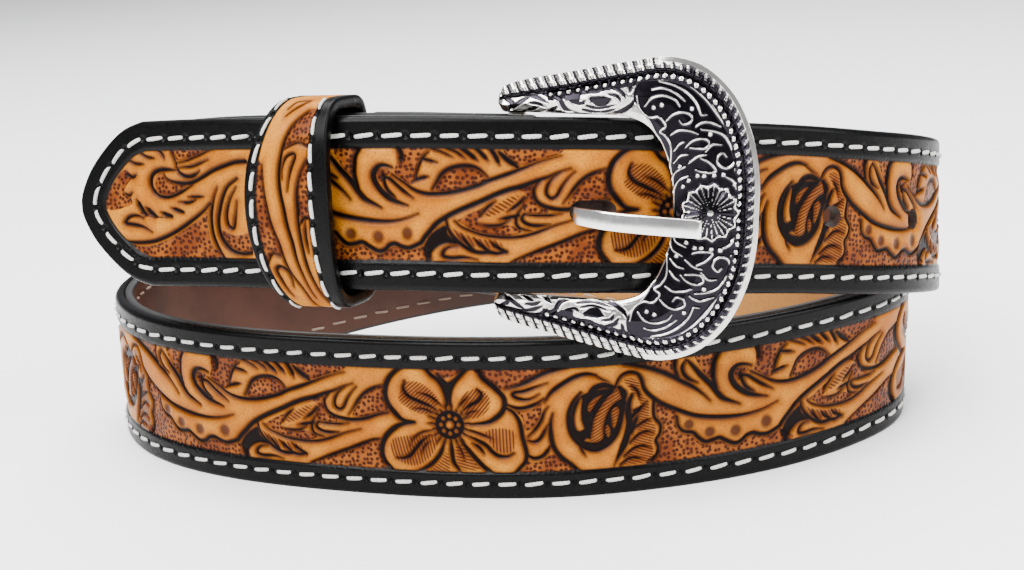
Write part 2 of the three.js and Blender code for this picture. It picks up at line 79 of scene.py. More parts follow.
# the strap's lower edge from the tip on: across, back and rise as shares of the coil, lean in degrees
stations = [
    (-0.417, 0.212, 0.953, 8.0), (-0.362, 0.164, 0.968, 8.0), (-0.295, 0.108, 0.983, 7.0),
    (-0.224, 0.050, 0.994, 5.0), (-0.146, -0.003, 1.000, 4.2), (-0.057, -0.045, 0.998, 4.9),
    (0.033, -0.065, 0.979, 6.0), (0.148, -0.052, 0.943, 6.3), (0.257, 0.003, 0.881, 6.0),
    (0.341, 0.071, 0.821, 5.7), (0.418, 0.146, 0.753, 5.4), (0.471, 0.224, 0.698, 4.8),
    (0.513, 0.322, 0.636, 3.2), (0.541, 0.449, 0.562, 0.6), (0.545, 0.564, 0.494, -1.2),
    (0.525, 0.692, 0.436, -0.8), (0.470, 0.800, 0.402, 0.0), (0.372, 0.876, 0.388, 0.0),
    (0.239, 0.914, 0.379, 0.0), (0.092, 0.930, 0.362, 0.0), (-0.055, 0.929, 0.312, 0.0),
    (-0.202, 0.905, 0.218, 0.0), (-0.330, 0.855, 0.106, 0.3), (-0.411, 0.772, 0.032, 1.0),
    (-0.446, 0.650, 0.004, 1.8), (-0.434, 0.508, 0.000, 1.2), (-0.386, 0.355, 0.000, 0.8),
    (-0.298, 0.219, 0.000, 1.2), (-0.152, 0.097, 0.000, 2.2), (0.003, 0.018, 0.000, 2.1),
    (0.085, 0.003, 0.000, 1.0), (0.162, 0.013, 0.000, 0.6), (0.317, 0.091, 0.000, 0.8),
    (0.4185, 0.207, 0.000, -1.0), (0.481, 0.340, 0.000, -2.5), (0.499, 0.465, 0.000, -2.2),
    (0.490, 0.600, 0.004, -1.0), (0.450, 0.712, 0.038, 0.0), (0.374, 0.786, 0.113, 0.0),
    (0.266, 0.832, 0.217, 0.0), (0.110, 0.853, 0.358, 0.0), (-0.062, 0.848, 0.502, 0.0),
    (-0.206, 0.806, 0.625, 0.2), (-0.301, 0.725, 0.710, 0.8), (-0.352, 0.602, 0.770, 2.2),
    (-0.366, 0.461, 0.822, 4.2), (-0.349, 0.330, 0.880, 6.0),
]
behindShares = [0.29, 0.42, 0.58, 0.74, 0.88, 1]

# the tip's half width along its length, both as shares
tipOutline = [(0, 0.03), (0.05, 0.22), (0.2, 0.47), (0.43, 0.71), (0.71, 0.91), (1, 1)]


def naturalSpline(knots, values):
    knots, values = np.asarray(knots, float), np.asarray(values, float)
    width, count = np.diff(knots), len(knots)
    system, side = np.eye(count), np.zeros(count)
    for i in range(1, count - 1):
        system[i, i - 1:i + 2] = width[i - 1], 2 * (width[i - 1] + width[i]), width[i]
        slopes = (values[i + 1] - values[i]) / width[i] - (values[i] - values[i - 1]) / width[i - 1]
        side[i] = 6 * slopes
    bend = np.linalg.solve(system, side)

    def at(t):
        i = np.clip(np.searchsorted(knots, t) - 1, 0, count - 2)
        w, d = width[i], t - knots[i]
        first = (values[i + 1] - values[i]) / w - w * (2 * bend[i] + bend[i + 1]) / 6
        return values[i] + d * first + d * d * bend[i] / 2 + d ** 3 * (bend[i + 1] - bend[i]) / (6 * w)

    return at


def unit(vectors):
    return vectors / np.linalg.norm(vectors, axis=-1, keepdims=True)


# gives the lower edge of the grain face and the strap's three directions at any distance
class Route:
    def __init__(self, rows):
        rows = np.asarray(rows, float)
        steps = np.hypot(*np.diff(rows[:, :2], axis=0).T)
        knots = np.concatenate([[0], np.cumsum(steps)])
        self.length = knots[-1]
        self.follow = [naturalSpline(knots, rows[:, k]) for k in range(4)]

    def place(self, t):
        return np.stack([follow(t) for follow in self.follow[:3]], -1)

    def at(self, t):
        t = np.asarray(t, float)
        probe = 0.01
        along = unit(self.place(t + probe) - self.place(t - probe))
        level = unit(np.stack([along[..., 1], -along[..., 0], 0 * along[..., 0]], -1))
        upright = np.cross(level, along)
        lean = np.radians(self.follow[3](t))[..., None]
        up = upright * np.cos(lean) - level * np.sin(lean)
        out = level * np.cos(lean) + upright * np.sin(lean)
        return self.place(t), along, up, out


openRows = [(a * coil["width"], b * coil["depth"], r * coil["rise"] - coil["press"], lean)
            for a, b, r, lean in stations]
freeEnd = Route(openRows)
behindRows = []
for share in behindShares:
    spot = share * coil["tipPastBar"]
    origin, along, up, out = freeEnd.at(spot)
    behind = origin - out * (thickness + coil["lieGap"])
    behindRows.append((*behind, float(freeEnd.follow[3](spot))))
route = Route(openRows + behindRows)
linedLength = route.length - 9          # the lining ends short of the bar


def tipHalf(distance):
    shares, halves = zip(*tipOutline)
    curve = naturalSpline(np.sqrt(shares), halves)
    share = np.clip(np.asarray(distance, float) / strap["tipLength"], 0, 1)
    return half * np.clip(curve(np.sqrt(share)), 0.02, 1)


def cadShift():
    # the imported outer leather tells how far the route's own frame is from the belt's frame
    count = 1 + math.ceil((linedLength - strap["tipLength"]) / 7)
    origin, along, up, out = route.at(np.linspace(strap["tipLength"], linedLength, count))
    width, bevel = strap["width"], 1.2
    corners = ((0, -bevel), (bevel, 0), (width - bevel, 0), (width, -bevel))
    face = np.concatenate([origin + up * h + out * o for h, o in corners])
    low, high = (np.array(corner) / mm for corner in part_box("strap_outer"))
    return np.array([
        (low[0] + high[0] - face[:, 0].min() - face[:, 0].max()) / 2, high[1] - face[:, 1].max(), 0])


shift = cadShift()
print("belt frame is moved by", shift.round(3))


def onStrap(distance, height, lift=0.0):
    origin, along, up, out = route.at(distance)
    height, lift = np.asarray(height, float)[..., None], np.asarray(lift, float)[..., None]
    return origin + up * (half + height) + out * lift + shift


# Meshes
def makeMesh(name, points, faces, attributes=None, finish=None):
    mesh = bpy.data.meshes.new(name)
    mesh.from_pydata((np.asarray(points) * mm).tolist(), [], faces)
    mesh.polygons.foreach_set("use_smooth", [len(face) <= 4 for face in faces])
    for key, values in (attributes or {}).items():
        values = np.asarray(values, np.float32)
        vector = values.ndim == 2
        layer = mesh.attributes.new(key, "FLOAT_VECTOR" if vector else "FLOAT", "POINT")
        layer.data.foreach_set("vector" if vector else "value", values.ravel())
    mesh.update()
    piece = bpy.data.objects.new(name, mesh)
    bpy.context.scene.collection.objects.link(piece)
    if finish:
        mesh.materials.append(finish)
    return piece


def tubeFaces(rows, columns, keep=None):
    # rings of points joined along a tube, with a flat face at each end
    index = np.arange(rows * columns).reshape(rows, columns)
    a, b = index[:-1], np.roll(index, -1, 1)[:-1]
    c, d = np.roll(index, -1, 1)[1:], index[1:]
    quads = np.stack([a, b, c, d], -1).reshape(-1, 4)
    if keep is not None:
        quads = quads[keep.ravel()]
    return quads.tolist() + [index[0][::-1].tolist(), index[-1].tolist()]


def ringFaces(rows, columns):
    # the same with the last ring joined to the first
    a = np.arange(rows * columns).reshape(rows, columns)
    b = np.roll(a, -1, 1)
    return np.stack([a, b, np.roll(b, -1, 0), np.roll(a, -1, 0)], -1).reshape(-1, 4).tolist()


def turnedOut(points, faces):
    # the faces turn round together when the body they close has its volume inside out
    volume = 0.0
    firstHalves = np.array([f[:3] for f in faces])
    otherHalves = np.array([(f[0], f[2], f[3]) for f in faces if len(f) == 4])
    for triangles in (firstHalves, otherHalves):
        a, b, c = (points[triangles[:, k]] for k in range(3))
        volume += np.einsum("ij,ij->", a, np.cross(b, c))
    return faces if volume > 0 else [face[::-1] for face in faces]


def dress(piece, slot, *nodes):
    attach(piece, "root")
    if nodes:
        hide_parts(*nodes)
    return piece


# Charted ornament
def smoothPath(points, closed=False, spacing=0.35):
    points = np.asarray(points, float)
    if closed:
        points = np.concatenate([points[-1:], points, points[:2]])
    else:
        points = np.concatenate([[2 * points[0] - points[1]], points, [2 * points[-1] - points[-2]]])
    line = []
    for p0, p1, p2, p3 in zip(points, points[1:], points[2:], points[3:]):
        count = max(1, math.ceil(np.linalg.norm(p2 - p1) / spacing))
        t = (np.arange(count) / count)[:, None]
        line.append(0.5 * (2 * p1 + (p2 - p0) * t + (2 * p0 - 5 * p1 + 4 * p2 - p3) * t ** 2
                           + (3 * p1 - 3 * p2 + p3 - p0) * t ** 3))
    line.append(points[-2:-1])
    return np.concatenate(line)


def distanceTo(points, line):
    start, step = line[:-1], np.diff(line, axis=0)
    gap = points[:, None] - start
    share = np.clip((gap * step).sum(-1) / np.maximum((step ** 2).sum(-1), 1e-9), 0, 1)
    distance = np.linalg.norm(gap - share[..., None] * step, axis=-1)
    best = distance.argmin(1)
    rows = np.arange(len(points))
    return distance[rows, best], (best + share[rows, best]) / len(step)


def isInside(points, line):
    x, y = points[:, :1], points[:, 1:]
    x0, y0 = line[:-1].T
    x1, y1 = line[1:].T
    crosses = (y0 > y) != (y1 > y)
    at = x0 + (y - y0) * (x1 - x0) / np.where(y1 == y0, 1, y1 - y0)
    return (crosses & (x < at)).sum(1) % 2 == 1


def nearTo(points, line, reach):
    low, high = line.min(0) - reach, line.max(0) + reach
    return np.nonzero(((points > low) & (points < high)).all(1))[0]


# distance to the nearest stroke's side, below zero in a stroke
# a stroke: its width, the share of it at its first and last end, its path
def strokeField(points, strokes, reach=2.5):
    field = np.full(len(points), reach)
    for wide, first, last, path in strokes:
        line = smoothPath(path)
        near = nearTo(points, line, reach + wide)
        if not len(near):
            continue
        distance, share = distanceTo(points[near], line)
        swell = np.minimum(first + (1 - first) * share / 0.3, last + (1 - last) * (1 - share) / 0.3)
        side = distance - wide / 2 * np.minimum(swell, 1)
        field[near] = np.minimum(field[near], side)
    return field


# distance into the nearest area, above zero inside
def areaField(points, outlines, reach=2.5):
    field = np.full(len(points), -reach)
    for outline in outlines:
        line = smoothPath(outline, closed=True)
        near = nearTo(points, line, reach)
        if not len(near):
            continue
        distance = distanceTo(points[near], line)[0]
        signed = np.where(isInside(points[near], line), distance, -distance)
        field[near] = np.maximum(field[near], signed)
    return field


# parallel tool lines: distance into the area and the count of lines crossed
# a patch: its line spacing, the direction across the lines in degrees, its outline
def hatchField(points, patches, reach=1.5):
    field, phase = np.full(len(points), -reach), np.zeros(len(points))
    for spacing, angle, outline in patches:
        inside = areaField(points, [outline], reach)
        better = inside > field
        turn = math.radians(angle)
        count = (points @ np.array([math.cos(turn), math.sin(turn)])) / spacing
        field[better], phase[better] = inside[better], count[better]
    return field, phase


def disc(x, y, radius, sides=10):
    turn = np.arange(sides) * 2 * math.pi / sides
    return np.stack([x + radius * np.cos(turn), y + radius * np.sin(turn)], -1).tolist()


def moved(path, step):
    return [(x + step, y) for x, y in path]


# one repeat of the floral tooling, in mm along the strap and up from its middle
repeatLength = 134.5
flowerHeart = (122.6, -1.0)
cuts = [
    # the long stem and the leaves that lean on it
    (0.9, 0.5, 0.2, [(59.5, 6.6), (61, 5.7), (63, 4.6), (65, 3.4), (67, 2.7), (69, 2.4), (71, 2.4),
                     (74, 2.7), (77, 3.4), (80, 4.4), (82, 5.4), (84.5, 6.3), (87, 7.2), (90, 8.4),
                     (93, 9.6), (97.4, 10.9)]),
    (1.1, 1, 0.2, [(67, -8.3), (68.3, -6.8), (69.8, -5.4), (71.3, -3.9), (73.3, -2.5), (75.7, -1.2),
                   (78.3, 0), (81, 1.2), (83.7, 2.5), (86.3, 3.5), (89.3, 4.3), (92.3, 5.5), (94.7, 6.3),
                   (96.8, 7.3), (99.5, 8.2)]),
    (1.0, 0.6, 0.2, [(161.3, 6.8), (162.2, 8.7), (163.3, 9.8), (165, 10.2), (166.7, 9.5), (167.5, 8),
                     (167.9, 6.2), (168.8, 4.7), (170.2, 3.3), (172, 1.9), (174.5, 0.5), (177, -0.8),
                     (179.5, -1.9), (182, -2.6), (185.3, -3.2), (188.7, -3.6), (192, -3.7), (195, -3.5),
                     (198, -2.9), (201, -1.9)]),
    (0.8, 1, 1, [(170.2, 3.0), (170, 0.2), (170.3, -1.5), (171.5, -3.2), (171.3, -5.2), (170.3, -6.8),
                 (170.8, -8.5), (170.4, -10.2), (169.2, -11.8)]),
    (0.9, 0.4, 1, [(136, 7.6), (138.7, 8.3), (141, 9.2), (143, 10.2), (145.3, 11.2), (148, 12),
                   (150.5, 12.6)]),
    (1.0, 1, 0.2, [(163.6, 12.5), (167, 11.5), (169.3, 10.7), (172, 9.5), (174.7, 8), (176.7, 6.7),
                   (179, 5.3), (180.8, 3.9), (182.3, 2.5), (183.5, 1.1)]),
    # teardrop leaf and curled leaf with the dark eye
    (0.8, 1, 0.6, [(175.6, 12.6), (175.4, 9.8), (176.3, 7.4)]),
    (0.9, 0.5, 0.3, [(178, 11.6), (177.1, 10), (177.5, 8.2), (178.8, 6.8), (180.6, 5.9)]),
    (1.3, 0.4, 0.25, [(178.4, 11.4), (180, 9.5), (181.3, 7.8), (182.7, 6.3), (184, 4.8), (185.3, 2.9),
                      (186.8, 1.2), (188.7, 0.2), (190.9, -0.8)]),
    (1.1, 0.8, 1, [(186.4, 12.6), (185.1, 10.6), (184.7, 8.5), (184.6, 6.4), (185.2, 3.6)]),
    (1.1, 1, 0.4, [(195.8, 12.5), (196.6, 10.8), (196.4, 9)]),
    (1.4, 0.3, 0.2, [(194.2, 8.0), (192.3, 8.5), (190.6, 8.4), (189.4, 7.5), (189, 6.2), (189.4, 4.8),
                     (190.3, 3.5), (191.8, 2.2), (193.7, 1.1), (195.7, 0.4), (198.2, -0.2)]),
    (0.8, 1, 0.2, [(191.7, 5.9), (193.3, 5.6), (195, 4.4), (196.8, 3.1), (199.8, 1.3)]),
    (0.9, 1, 0.5, [(191.4, 6.4), (191.9, 4.6), (192.8, 3), (194.7, 1.6)]),
    # scalloped leaf under the stem
    (1.0, 0.6, 1, [(175.4, -1.6), (175.7, -3.9), (177, -5.5), (179.2, -6.1), (180.3, -7.3), (182, -8.7),
                   (184, -8.6), (185.6, -8.3), (187.2, -9.2), (189.4, -10.3), (191.2, -9.9), (192.6, -8.9),
                   (194.3, -8.6), (196, -9.2), (198, -9.5), (199.8, -9), (201.5, -8.3)]),
    # fan leaf over its oval of matting
    (0.8, 0.5, 0.6, [(69.5, 11.6), (68, 10.4), (66.8, 8.6), (66.1, 6.8), (65.7, 5.2)]),
    (0.8, 1, 0.1, [(65.7, 5.3), (67, 5.7), (69.5, 6.2)]),
    (0.7, 1, 0.1, [(67.7, 9.9), (69, 9.7), (71.4, 9.2)]),
    (0.5, 1, 0.1, [(70.2, 12.2), (72.4, 11.4), (74.6, 10.3)]),
    (0.6, 1, 0.1, [(73.4, 12.3), (75.4, 11.4), (77.2, 10)]),
    (0.9, 0.6, 0.4, [(70.3, 3.4), (71.2, 5), (72.2, 6.7), (73.6, 7.8), (75.3, 8.4), (77, 8.6), (78.8, 8.4),
                     (80.4, 7.6), (81.9, 6.2)]),
    (1.0, 1, 0.1, [(76.4, 12.3), (78.1, 11), (79.8, 9.6)]),
    (0.9, 1, 0.1, [(79.4, 12.3), (80.7, 11), (82, 9.6)]),
    (1.0, 1, 0.1, [(82.4, 12.3), (83.5, 10.6), (84.4, 8.7)]),
    (1.2, 0.5, 0.6, [(84.2, 11.6), (86, 10), (88.2, 8.5)]),
    # serrated leaf
    (0.7, 0.5, 0.2, [(75, -3.4), (76.3, -4.6), (78.3, -5.5), (80.5, -6.2), (83, -6.6), (86, -6.8),
                     (89, -6.6), (91.5, -6), (94, -5.1), (96.5, -4.1), (100.8, -2.8)]),
    (0.9, 0.6, 0.8, [(73.2, -3.4), (73.6, -5.2), (74.7, -6.9), (76.6, -8.6), (78.6, -9.8), (80.5, -10.2),
                     (82.4, -10.1), (84, -10.3), (86, -9.9)]),
    (0.8, 0.1, 1, [(76, -6.2), (77.3, -7.8), (78.9, -9.7)]),
    (0.8, 0.1, 1, [(79, -7.1), (80.6, -8.6), (82.4, -10)]),
    (0.8, 0.1, 1, [(82.4, -7.5), (83.8, -8.8), (86, -10)]),
    # bottom stem with its bud
    (1.7, 0.8, 0.5, [(68.6, -9), (69.8, -7.6), (71.4, -6.2), (72.7, -4.9)]),
    (1.3, 1, 0.3, [(68.9, -12.6), (69.2, -10.6), (70.5, -9), (72.3, -8), (74.8, -7.9)]),
    (0.8, 0.4, 0.2, [(75.8, -8.9), (73.8, -9.1), (72.6, -10), (72.5, -11.1), (74.3, -11.5), (77, -11.3),
                     (79.9, -11.7)]),
    (0.8, 0.3, 0.6, [(87.2, -12), (90, -10.8), (92.5, -9.8), (95.3, -8.7), (98.3, -7.5), (101.3, -6.2),
                     (103.6, -5.3), (105.4, -5)]),
    # small leaves between the stems
    (0.8, 0.8, 0.2, [(89.8, 1.9), (88.3, 0.3), (86.2, -1.2)]),
    (0.8, 0.8, 0.2, [(88.6, -2), (86.3, -2.5), (84.4, -2.9)]),
    (0.7, 0.2, 0.4, [(79.8, -3.8), (82, -4.3), (84.6, -4.1), (86.8, -3)]),
    (0.7, 0.5, 0.3, [(80.4, -2.2), (81.6, -0.6), (83.6, 1.1)]),
    (0.9, 0.6, 0.6, [(93.2, 5.6), (91.9, 4), (91.8, 2.6), (92.5, 1), (94, 0), (96.5, -0.6), (99, -0.7),
                     (102, -0.2), (105, 0.8), (107.8, 1.5)]),
    (0.7, 0.3, 0.3, [(98.3, 7.9), (95.9, 6.2), (94.7, 4.6), (94.4, 2.8), (95.4, 1.7), (96.6, 2.3),
                     (97.6, 4.2), (98.7, 5.8), (100.3, 7.5)]),
    (0.8, 0.3, 0.3, [(97.9, 0.6), (99.3, 2.5), (100.7, 4.5), (102.3, 6.1), (104.4, 7.3), (107.4, 8.4)]),
    (0.6, 0.2, 0.8, [(97.8, -1.6), (95, -2), (92, -2), (89.8, -1.7)]),
    (0.8, 0.8, 0.3, [(89.8, -1.7), (89.2, -2.8), (90.3, -3.8), (92.3, -4.2), (95.2, -3.9)]),
    (0.7, 0.5, 0.3, [(89.6, 0.2), (88.3, -1.8), (88, -3.5), (88.8, -4.8), (91.2, -5.3)]),
    # the flower's five petals
    (1.25, 0.5, 0.8, [(114.2, -0.6), (111.3, -0.2), (109.7, 1.2), (108, 3.3), (107.3, 5.5), (107.5, 7.8),
                      (108.4, 9.8), (110, 11.5), (111.6, 12.6)]),
    (1.0, 1, 0.6, [(117.3, 12.6), (118.8, 10.8), (120.2, 9.8), (121.4, 8), (122, 6), (122.2, 3.6)]),
    (1.1, 1, 0.6, [(127.4, 12.6), (125.4, 10.6), (123.8, 8.6), (123, 6.4), (122.9, 3.8)]),
    (1.2, 0.8, 0.4, [(129.7, 12.6), (130.8, 10.4), (132.4, 9), (134.2, 7.4), (135.6, 5.7), (135.8, 3.8),
                     (135.1, 2.2), (133.6, 0.8), (131.5, -0.3), (127.6, -0.8)]),
    (1.0, 0.6, 0.8, [(136, 3.2), (137.6, 2.2), (138.7, 0.6), (139.3, -1.4), (139.5, -3.6), (140, -6),
                     (140.3, -8), (139.9, -9.8), (138.6, -11.3), (137.4, -12.6)]),
    (1.1, 0.4, 1, [(124.8, -4.4), (126, -6), (128, -8.6), (130, -10.8), (132, -12.6)]),
    (1.0, 0.5, 0.6, [(122.7, -4.6), (122.8, -7.6), (123.1, -10), (124.4, -11.9)]),
    (1.25, 0.5, 0.8, [(114, -0.7), (111, -1.2), (108.8, -2.4), (106.8, -4.4), (105.8, -6.6), (105.7, -9),
                      (106.6, -11), (108, -12.6)]),
    (1.0, 0.6, 0.4, [(114.6, -12.4), (117.3, -10.9), (119.4, -8.8), (120.6, -6.6), (121.2, -4.6)]),
    # cuts in the petals
    (0.95, 0.5, 0.2, [(112.3, 9.3), (111.8, 7.4), (113, 5.6), (115.3, 4.5), (118, 3.4), (120.1, 2.2)]),
    (0.65, 0.3, 0.2, [(115.4, 6.6), (118.2, 5.7), (121.2, 3.4)]),
    (0.6, 0.3, 0.2, [(114.1, 2.8), (116.7, 2.6), (119.4, 1.5)]),
    (0.95, 0.5, 0.2, [(129.6, 7.6), (130.5, 6.4), (129.8, 5), (128, 3.9), (125.4, 2.2)]),
    (0.65, 0.2, 0.3, [(124.8, 3.1), (126, 4.6), (127.4, 5.8)]),
    (0.6, 0.2, 0.3, [(125.9, 1.2), (127.6, 2.1), (129.4, 2.6)]),
    (0.6, 0.3, 0.2, [(125.9, -2), (128.5, -2.6), (132.9, -4.3)]),
    (0.95, 0.2, 0.4, [(126.2, -3.2), (129, -4.6), (131, -5.8), (132.4, -7.4), (134, -8.4), (136, -8.4),
                      (137.4, -7.6)]),
    (0.75, 0.2, 0.4, [(127.8, -5.2), (129.4, -6.4), (130.5, -7.8)]),
    (0.55, 0.3, 0.2, [(124.2, -5.3), (125.2, -7.6), (125.8, -9.4)]),
    (0.95, 0.2, 0.4, [(118, -3.4), (115.8, -5), (114.2, -6.8), (112.6, -8.7), (110.8, -9.5),
                      (109.3, -9.4)]),
    (0.55, 0.3, 0.2, [(118.6, -2.3), (115.8, -3), (113.6, -4.6), (112.7, -6.4)]),
    (0.65, 0.3, 0.2, [(117.7, -4.9), (116.2, -6.4), (115.3, -8.2)]),
    # leaf pairs between flower and rose
    (0.9, 0.5, 0.4, [(136.2, 4), (138.7, 3.1), (141, 3.3), (143.4, 4.2), (145, 5.4)]),
    (0.8, 0.2, 0.2, [(146, 9), (143, 8), (140.3, 7.1), (138.2, 6.8), (137.8, 6.2), (138.7, 5.5),
                     (140.7, 5.1), (142.4, 5.5), (144, 6.5)]),
    (1.05, 0.4, 0.5, [(145, 4.4), (146.3, 6.3), (147.7, 7.5), (149.4, 8.6), (151.2, 9.6), (153, 10.3),
                      (155, 10.6), (157, 10.2)]),
    (0.4, 1, 0.2, [(156.6, 10.3), (158.4, 9.1), (160.2, 8.2)]),
    (0.8, 0.3, 0.3, [(140.8, -3.8), (142.6, -2), (144, 0), (144.8, 2), (145.8, 3.4)]),
    (0.8, 0.4, 0.2, [(140.6, -4.6), (142.4, -5.0), (143.8, -4), (145, -2), (145.6, -0.8)]),
    (1.1, 0.3, 0.8, [(146.8, 1.8), (146.2, -0.6), (146.1, -3.2), (146.4, -5.6), (147.2, -7.6), (148.6, -9.3),
                     (150.4, -10.8), (152, -12.4)]),
    (0.9, 0.6, 0.4, [(140.2, -8), (142, -9.0), (143.8, -8.6), (145.2, -7.2), (146.2, -5.4)]),
    # rose: its dark heart's rim, its bud, the ruffled leaf beside it
    (1.5, 0.4, 0.6, [(153.4, 6.3), (151.7, 4.3), (150.6, 1.9), (150.4, -0.6), (150.9, -3.2), (152.1, -5.2),
                     (153.8, -6.7), (155.8, -7.5), (157.6, -7.2), (159.4, -6.1), (160.9, -4.3), (161.9, -2),
                     (162.6, 0.6), (163.2, 3), (163, 5), (162.4, 6.8)]),
    (1.1, 0.3, 0.5, [(155, 5.8), (154.2, 3.2), (153.9, 0.6), (154.2, -1.6), (155, -3.4), (155, -4.8)]),
    (1.4, 0.6, 0.8, [(160.8, 7.1), (158.6, 7.6), (156.6, 7), (155.2, 5.4)]),
    (0.6, 0.3, 0.2, [(152.4, -6.4), (153.2, -7.8), (153.8, -9)]),
    (1.6, 0.5, 0.1, [(165.2, 4.8), (164.4, 3), (164.1, 0.6), (164.3, -1.8), (163.9, -4), (163, -6.6),
                     (161.8, -9), (160.3, -11.8)]),
    (1.0, 0.6, 0.4, [(162, 6.8), (163.4, 5.6), (163.7, 3.8)]),
    (1.0, 0.1, 0.8, [(167.6, 1.5), (165.8, 0.4), (164.8, -0.8)]),
    (1.0, 0.1, 0.8, [(166.6, 0), (165.4, -2.2), (164.6, -4.4)]),
    (0.7, 0.1, 0.6, [(166.9, 3.4), (166.5, 5.4), (165.1, 7)]),
    (0.7, 0.1, 0.8, [(168.6, 3), (167.2, 1.6), (165.2, 0.9)]),
    (0.7, 0.1, 0.8, [(169.6, -1.2), (167.2, -2.2), (165, -3.6)]),
    (0.7, 0.1, 0.8, [(169.9, -5), (168.2, -4.4), (166.2, -5), (164.2, -6.8)]),
    (0.7, 0.1, 0.8, [(169.2, -8.6), (167.2, -7.8), (165, -8.2), (162.8, -9.8)]),
    (0.7, 0.1, 0.8, [(167.2, -10.8), (164.2, -10.4), (161.8, -11.8)]),
]
# short rays round the flower's heart
for k in range(19):
    turn = k * 2 * math.pi / 19 + 0.1
    ray = [(flowerHeart[0] + r * math.cos(turn), flowerHeart[1] + r * math.sin(turn))
           for r in (3.3, 4.2, 5.0 + 0.7 * math.sin(5 * turn))]
    cuts.append((0.5, 1, 0.1, ray))
deepAreas = [
    [(119.9, 11), (121.4, 10.4), (122.6, 9.2), (123.8, 9.8), (125, 10.6), (123.4, 8), (122.6, 4.2),
     (121.8, 8)],
    [(154.6, 6), (161.8, 6.6), (163, 3), (161.6, -2), (158.6, -6.2), (155.6, -7), (152.4, -5), (150.8, -1),
     (151.8, 3.6)],
    [(68.6, -8.4), (71, -6), (73, -4.4), (73.6, -6.4), (76, -8.4), (72.4, -8.4), (70.2, -9.8), (68.8, -12.4),
     (67.6, -9.8)],
    disc(*flowerHeart, 3.5, 16),
]
islands = [
    [(161.9, 6.5), (160.6, 5.5), (159, 3.9), (157.5, 1.9), (156.2, -0.4), (155.7, -2.8), (155, -4.5),
     (153.7, -5.3), (156.4, -5.9), (158, -5), (158.1, -3), (158.5, -1), (159.1, 0.6), (160, 2.2),
     (161.4, 3.5), (162.9, 4.4)],
    [(152.2, -2.7), (151.7, 0), (152.3, 2.6), (153.6, 5), (153.3, 2), (153.3, -0.4), (153.8, -2.4)],
    [(160.3, 1.2), (161.6, 2.2), (162.1, 0.6), (161.5, -1.6), (160.5, -2.8), (160.3, -1)],
    [(159.1, -1.9), (159.8, -3.1), (159.3, -4.9), (158.7, -3.6)],
    [(155.2, 1.4), (156.8, 3.6), (158.2, 5.2), (156.4, 4.6), (155, 3)],
    disc(*flowerHeart, 0.95),
]
# eight seeds in a ring round the one in the middle
for k in range(8):
    turn = k * math.pi / 4
    x, y = flowerHeart[0] + 2.1 * math.cos(turn), flowerHeart[1] + 2.1 * math.sin(turn)
    islands.append(disc(x, y, 0.48, 8))
mattedAreas = [
    [(88.5, 12.7), (97.5, 12.7), (97, 11.2), (93, 10), (90, 8.9), (88.3, 8.9), (86.5, 10.3), (85.1, 11.8),
     (85.5, 12.7)],
    [(61.4, 12.7), (69.4, 12.7), (67.6, 10.5), (66.5, 8.8), (65.9, 6.8), (65.4, 4.6), (64, 4.4), (61.8, 5.8),
     (60.2, 7), (60.8, 9), (60.8, 11)],
    [(70.9, 3.3), (72.4, 6.5), (74.5, 7.9), (77, 8.4), (79.6, 7.7), (81.6, 6.2), (81.6, 5.3), (79.8, 4.5),
     (77, 3.6), (74, 2.9)],
    [(165, 12.7), (175.6, 12.7), (175.2, 9.8), (176, 7.6), (174, 8.6), (172, 9.8), (169.5, 11),
     (167, 11.8)],
    [(180.2, 12.7), (185.6, 12.7), (184.9, 9.5), (184.5, 6.5), (183, 7), (181.3, 9.5)],
    [(190, 7.6), (193, 7.8), (193.6, 6.8), (192, 6), (191.2, 4.8), (190.2, 5.4)],
    [(87.2, -12.7), (107.4, -12.7), (105.4, -9), (105.3, -6), (104.4, -5), (101.5, -5.9), (97, -7.8),
     (92.5, -9.6)],
    [(75.5, -3.2), (78.5, -1.4), (81, -0.4), (80.6, -2.4), (79.8, -3.8), (83, -4.6), (86.5, -4),
     (88.2, -4.8), (89.4, -5.6), (86.5, -6.5), (83, -6.3), (79, -5.4), (76.6, -4)],
    [(88.4, 3.8), (91.6, 4.7), (91.9, 2), (92.6, 0.4), (94.6, -0.4), (94.6, -1.7), (90.2, -1.4), (89.2, 0.6),
     (90.2, 2.4)],
    [(98.8, 0.4), (100, 2.8), (101.6, 5), (103.4, 6.6), (106.8, 7.9), (107, 5), (108, 2.6), (107, 1.6),
     (104, 0.8), (101.5, 0.1)],
    [(130, 12.7), (149.5, 12.7), (146, 11.6), (143.5, 10.5), (141, 9.3), (138.6, 8.4), (136, 7.7),
     (134.6, 7.4), (132.6, 9.2), (131, 10.4)],
    [(118.6, 12.7), (127, 12.7), (125.6, 11.4), (122.6, 10.2), (120, 11)],
    [(140, -9.6), (143, -9.8), (146, -8), (147.6, -8.8), (150, -11), (152, -12.7), (138.6, -12.7),
     (140, -11)],
    [(136.6, 3), (139, 2.6), (142, 2.8), (144.4, 4.4), (144.2, 2), (143.4, 0), (141.6, -2), (140.2, -2),
     (139.8, 0.6), (138.6, 2)],
    [(171, 2.2), (173, 1), (175.4, -0.2), (175.2, -1.6), (175.3, -4), (176.8, -5.9), (179, -6.6), (180, -8),
     (182, -9.3), (185.6, -9), (188, -10.4), (190, -10.9), (192.6, -9.6), (194.4, -9.2), (198, -10),
     (200.6, -9.4), (202, -9), (203, -12.7), (169.4, -12.7), (171.2, -9), (170.8, -7), (171.9, -5),
     (171.9, -3), (170.8, -1.4), (170.5, 1)],
]
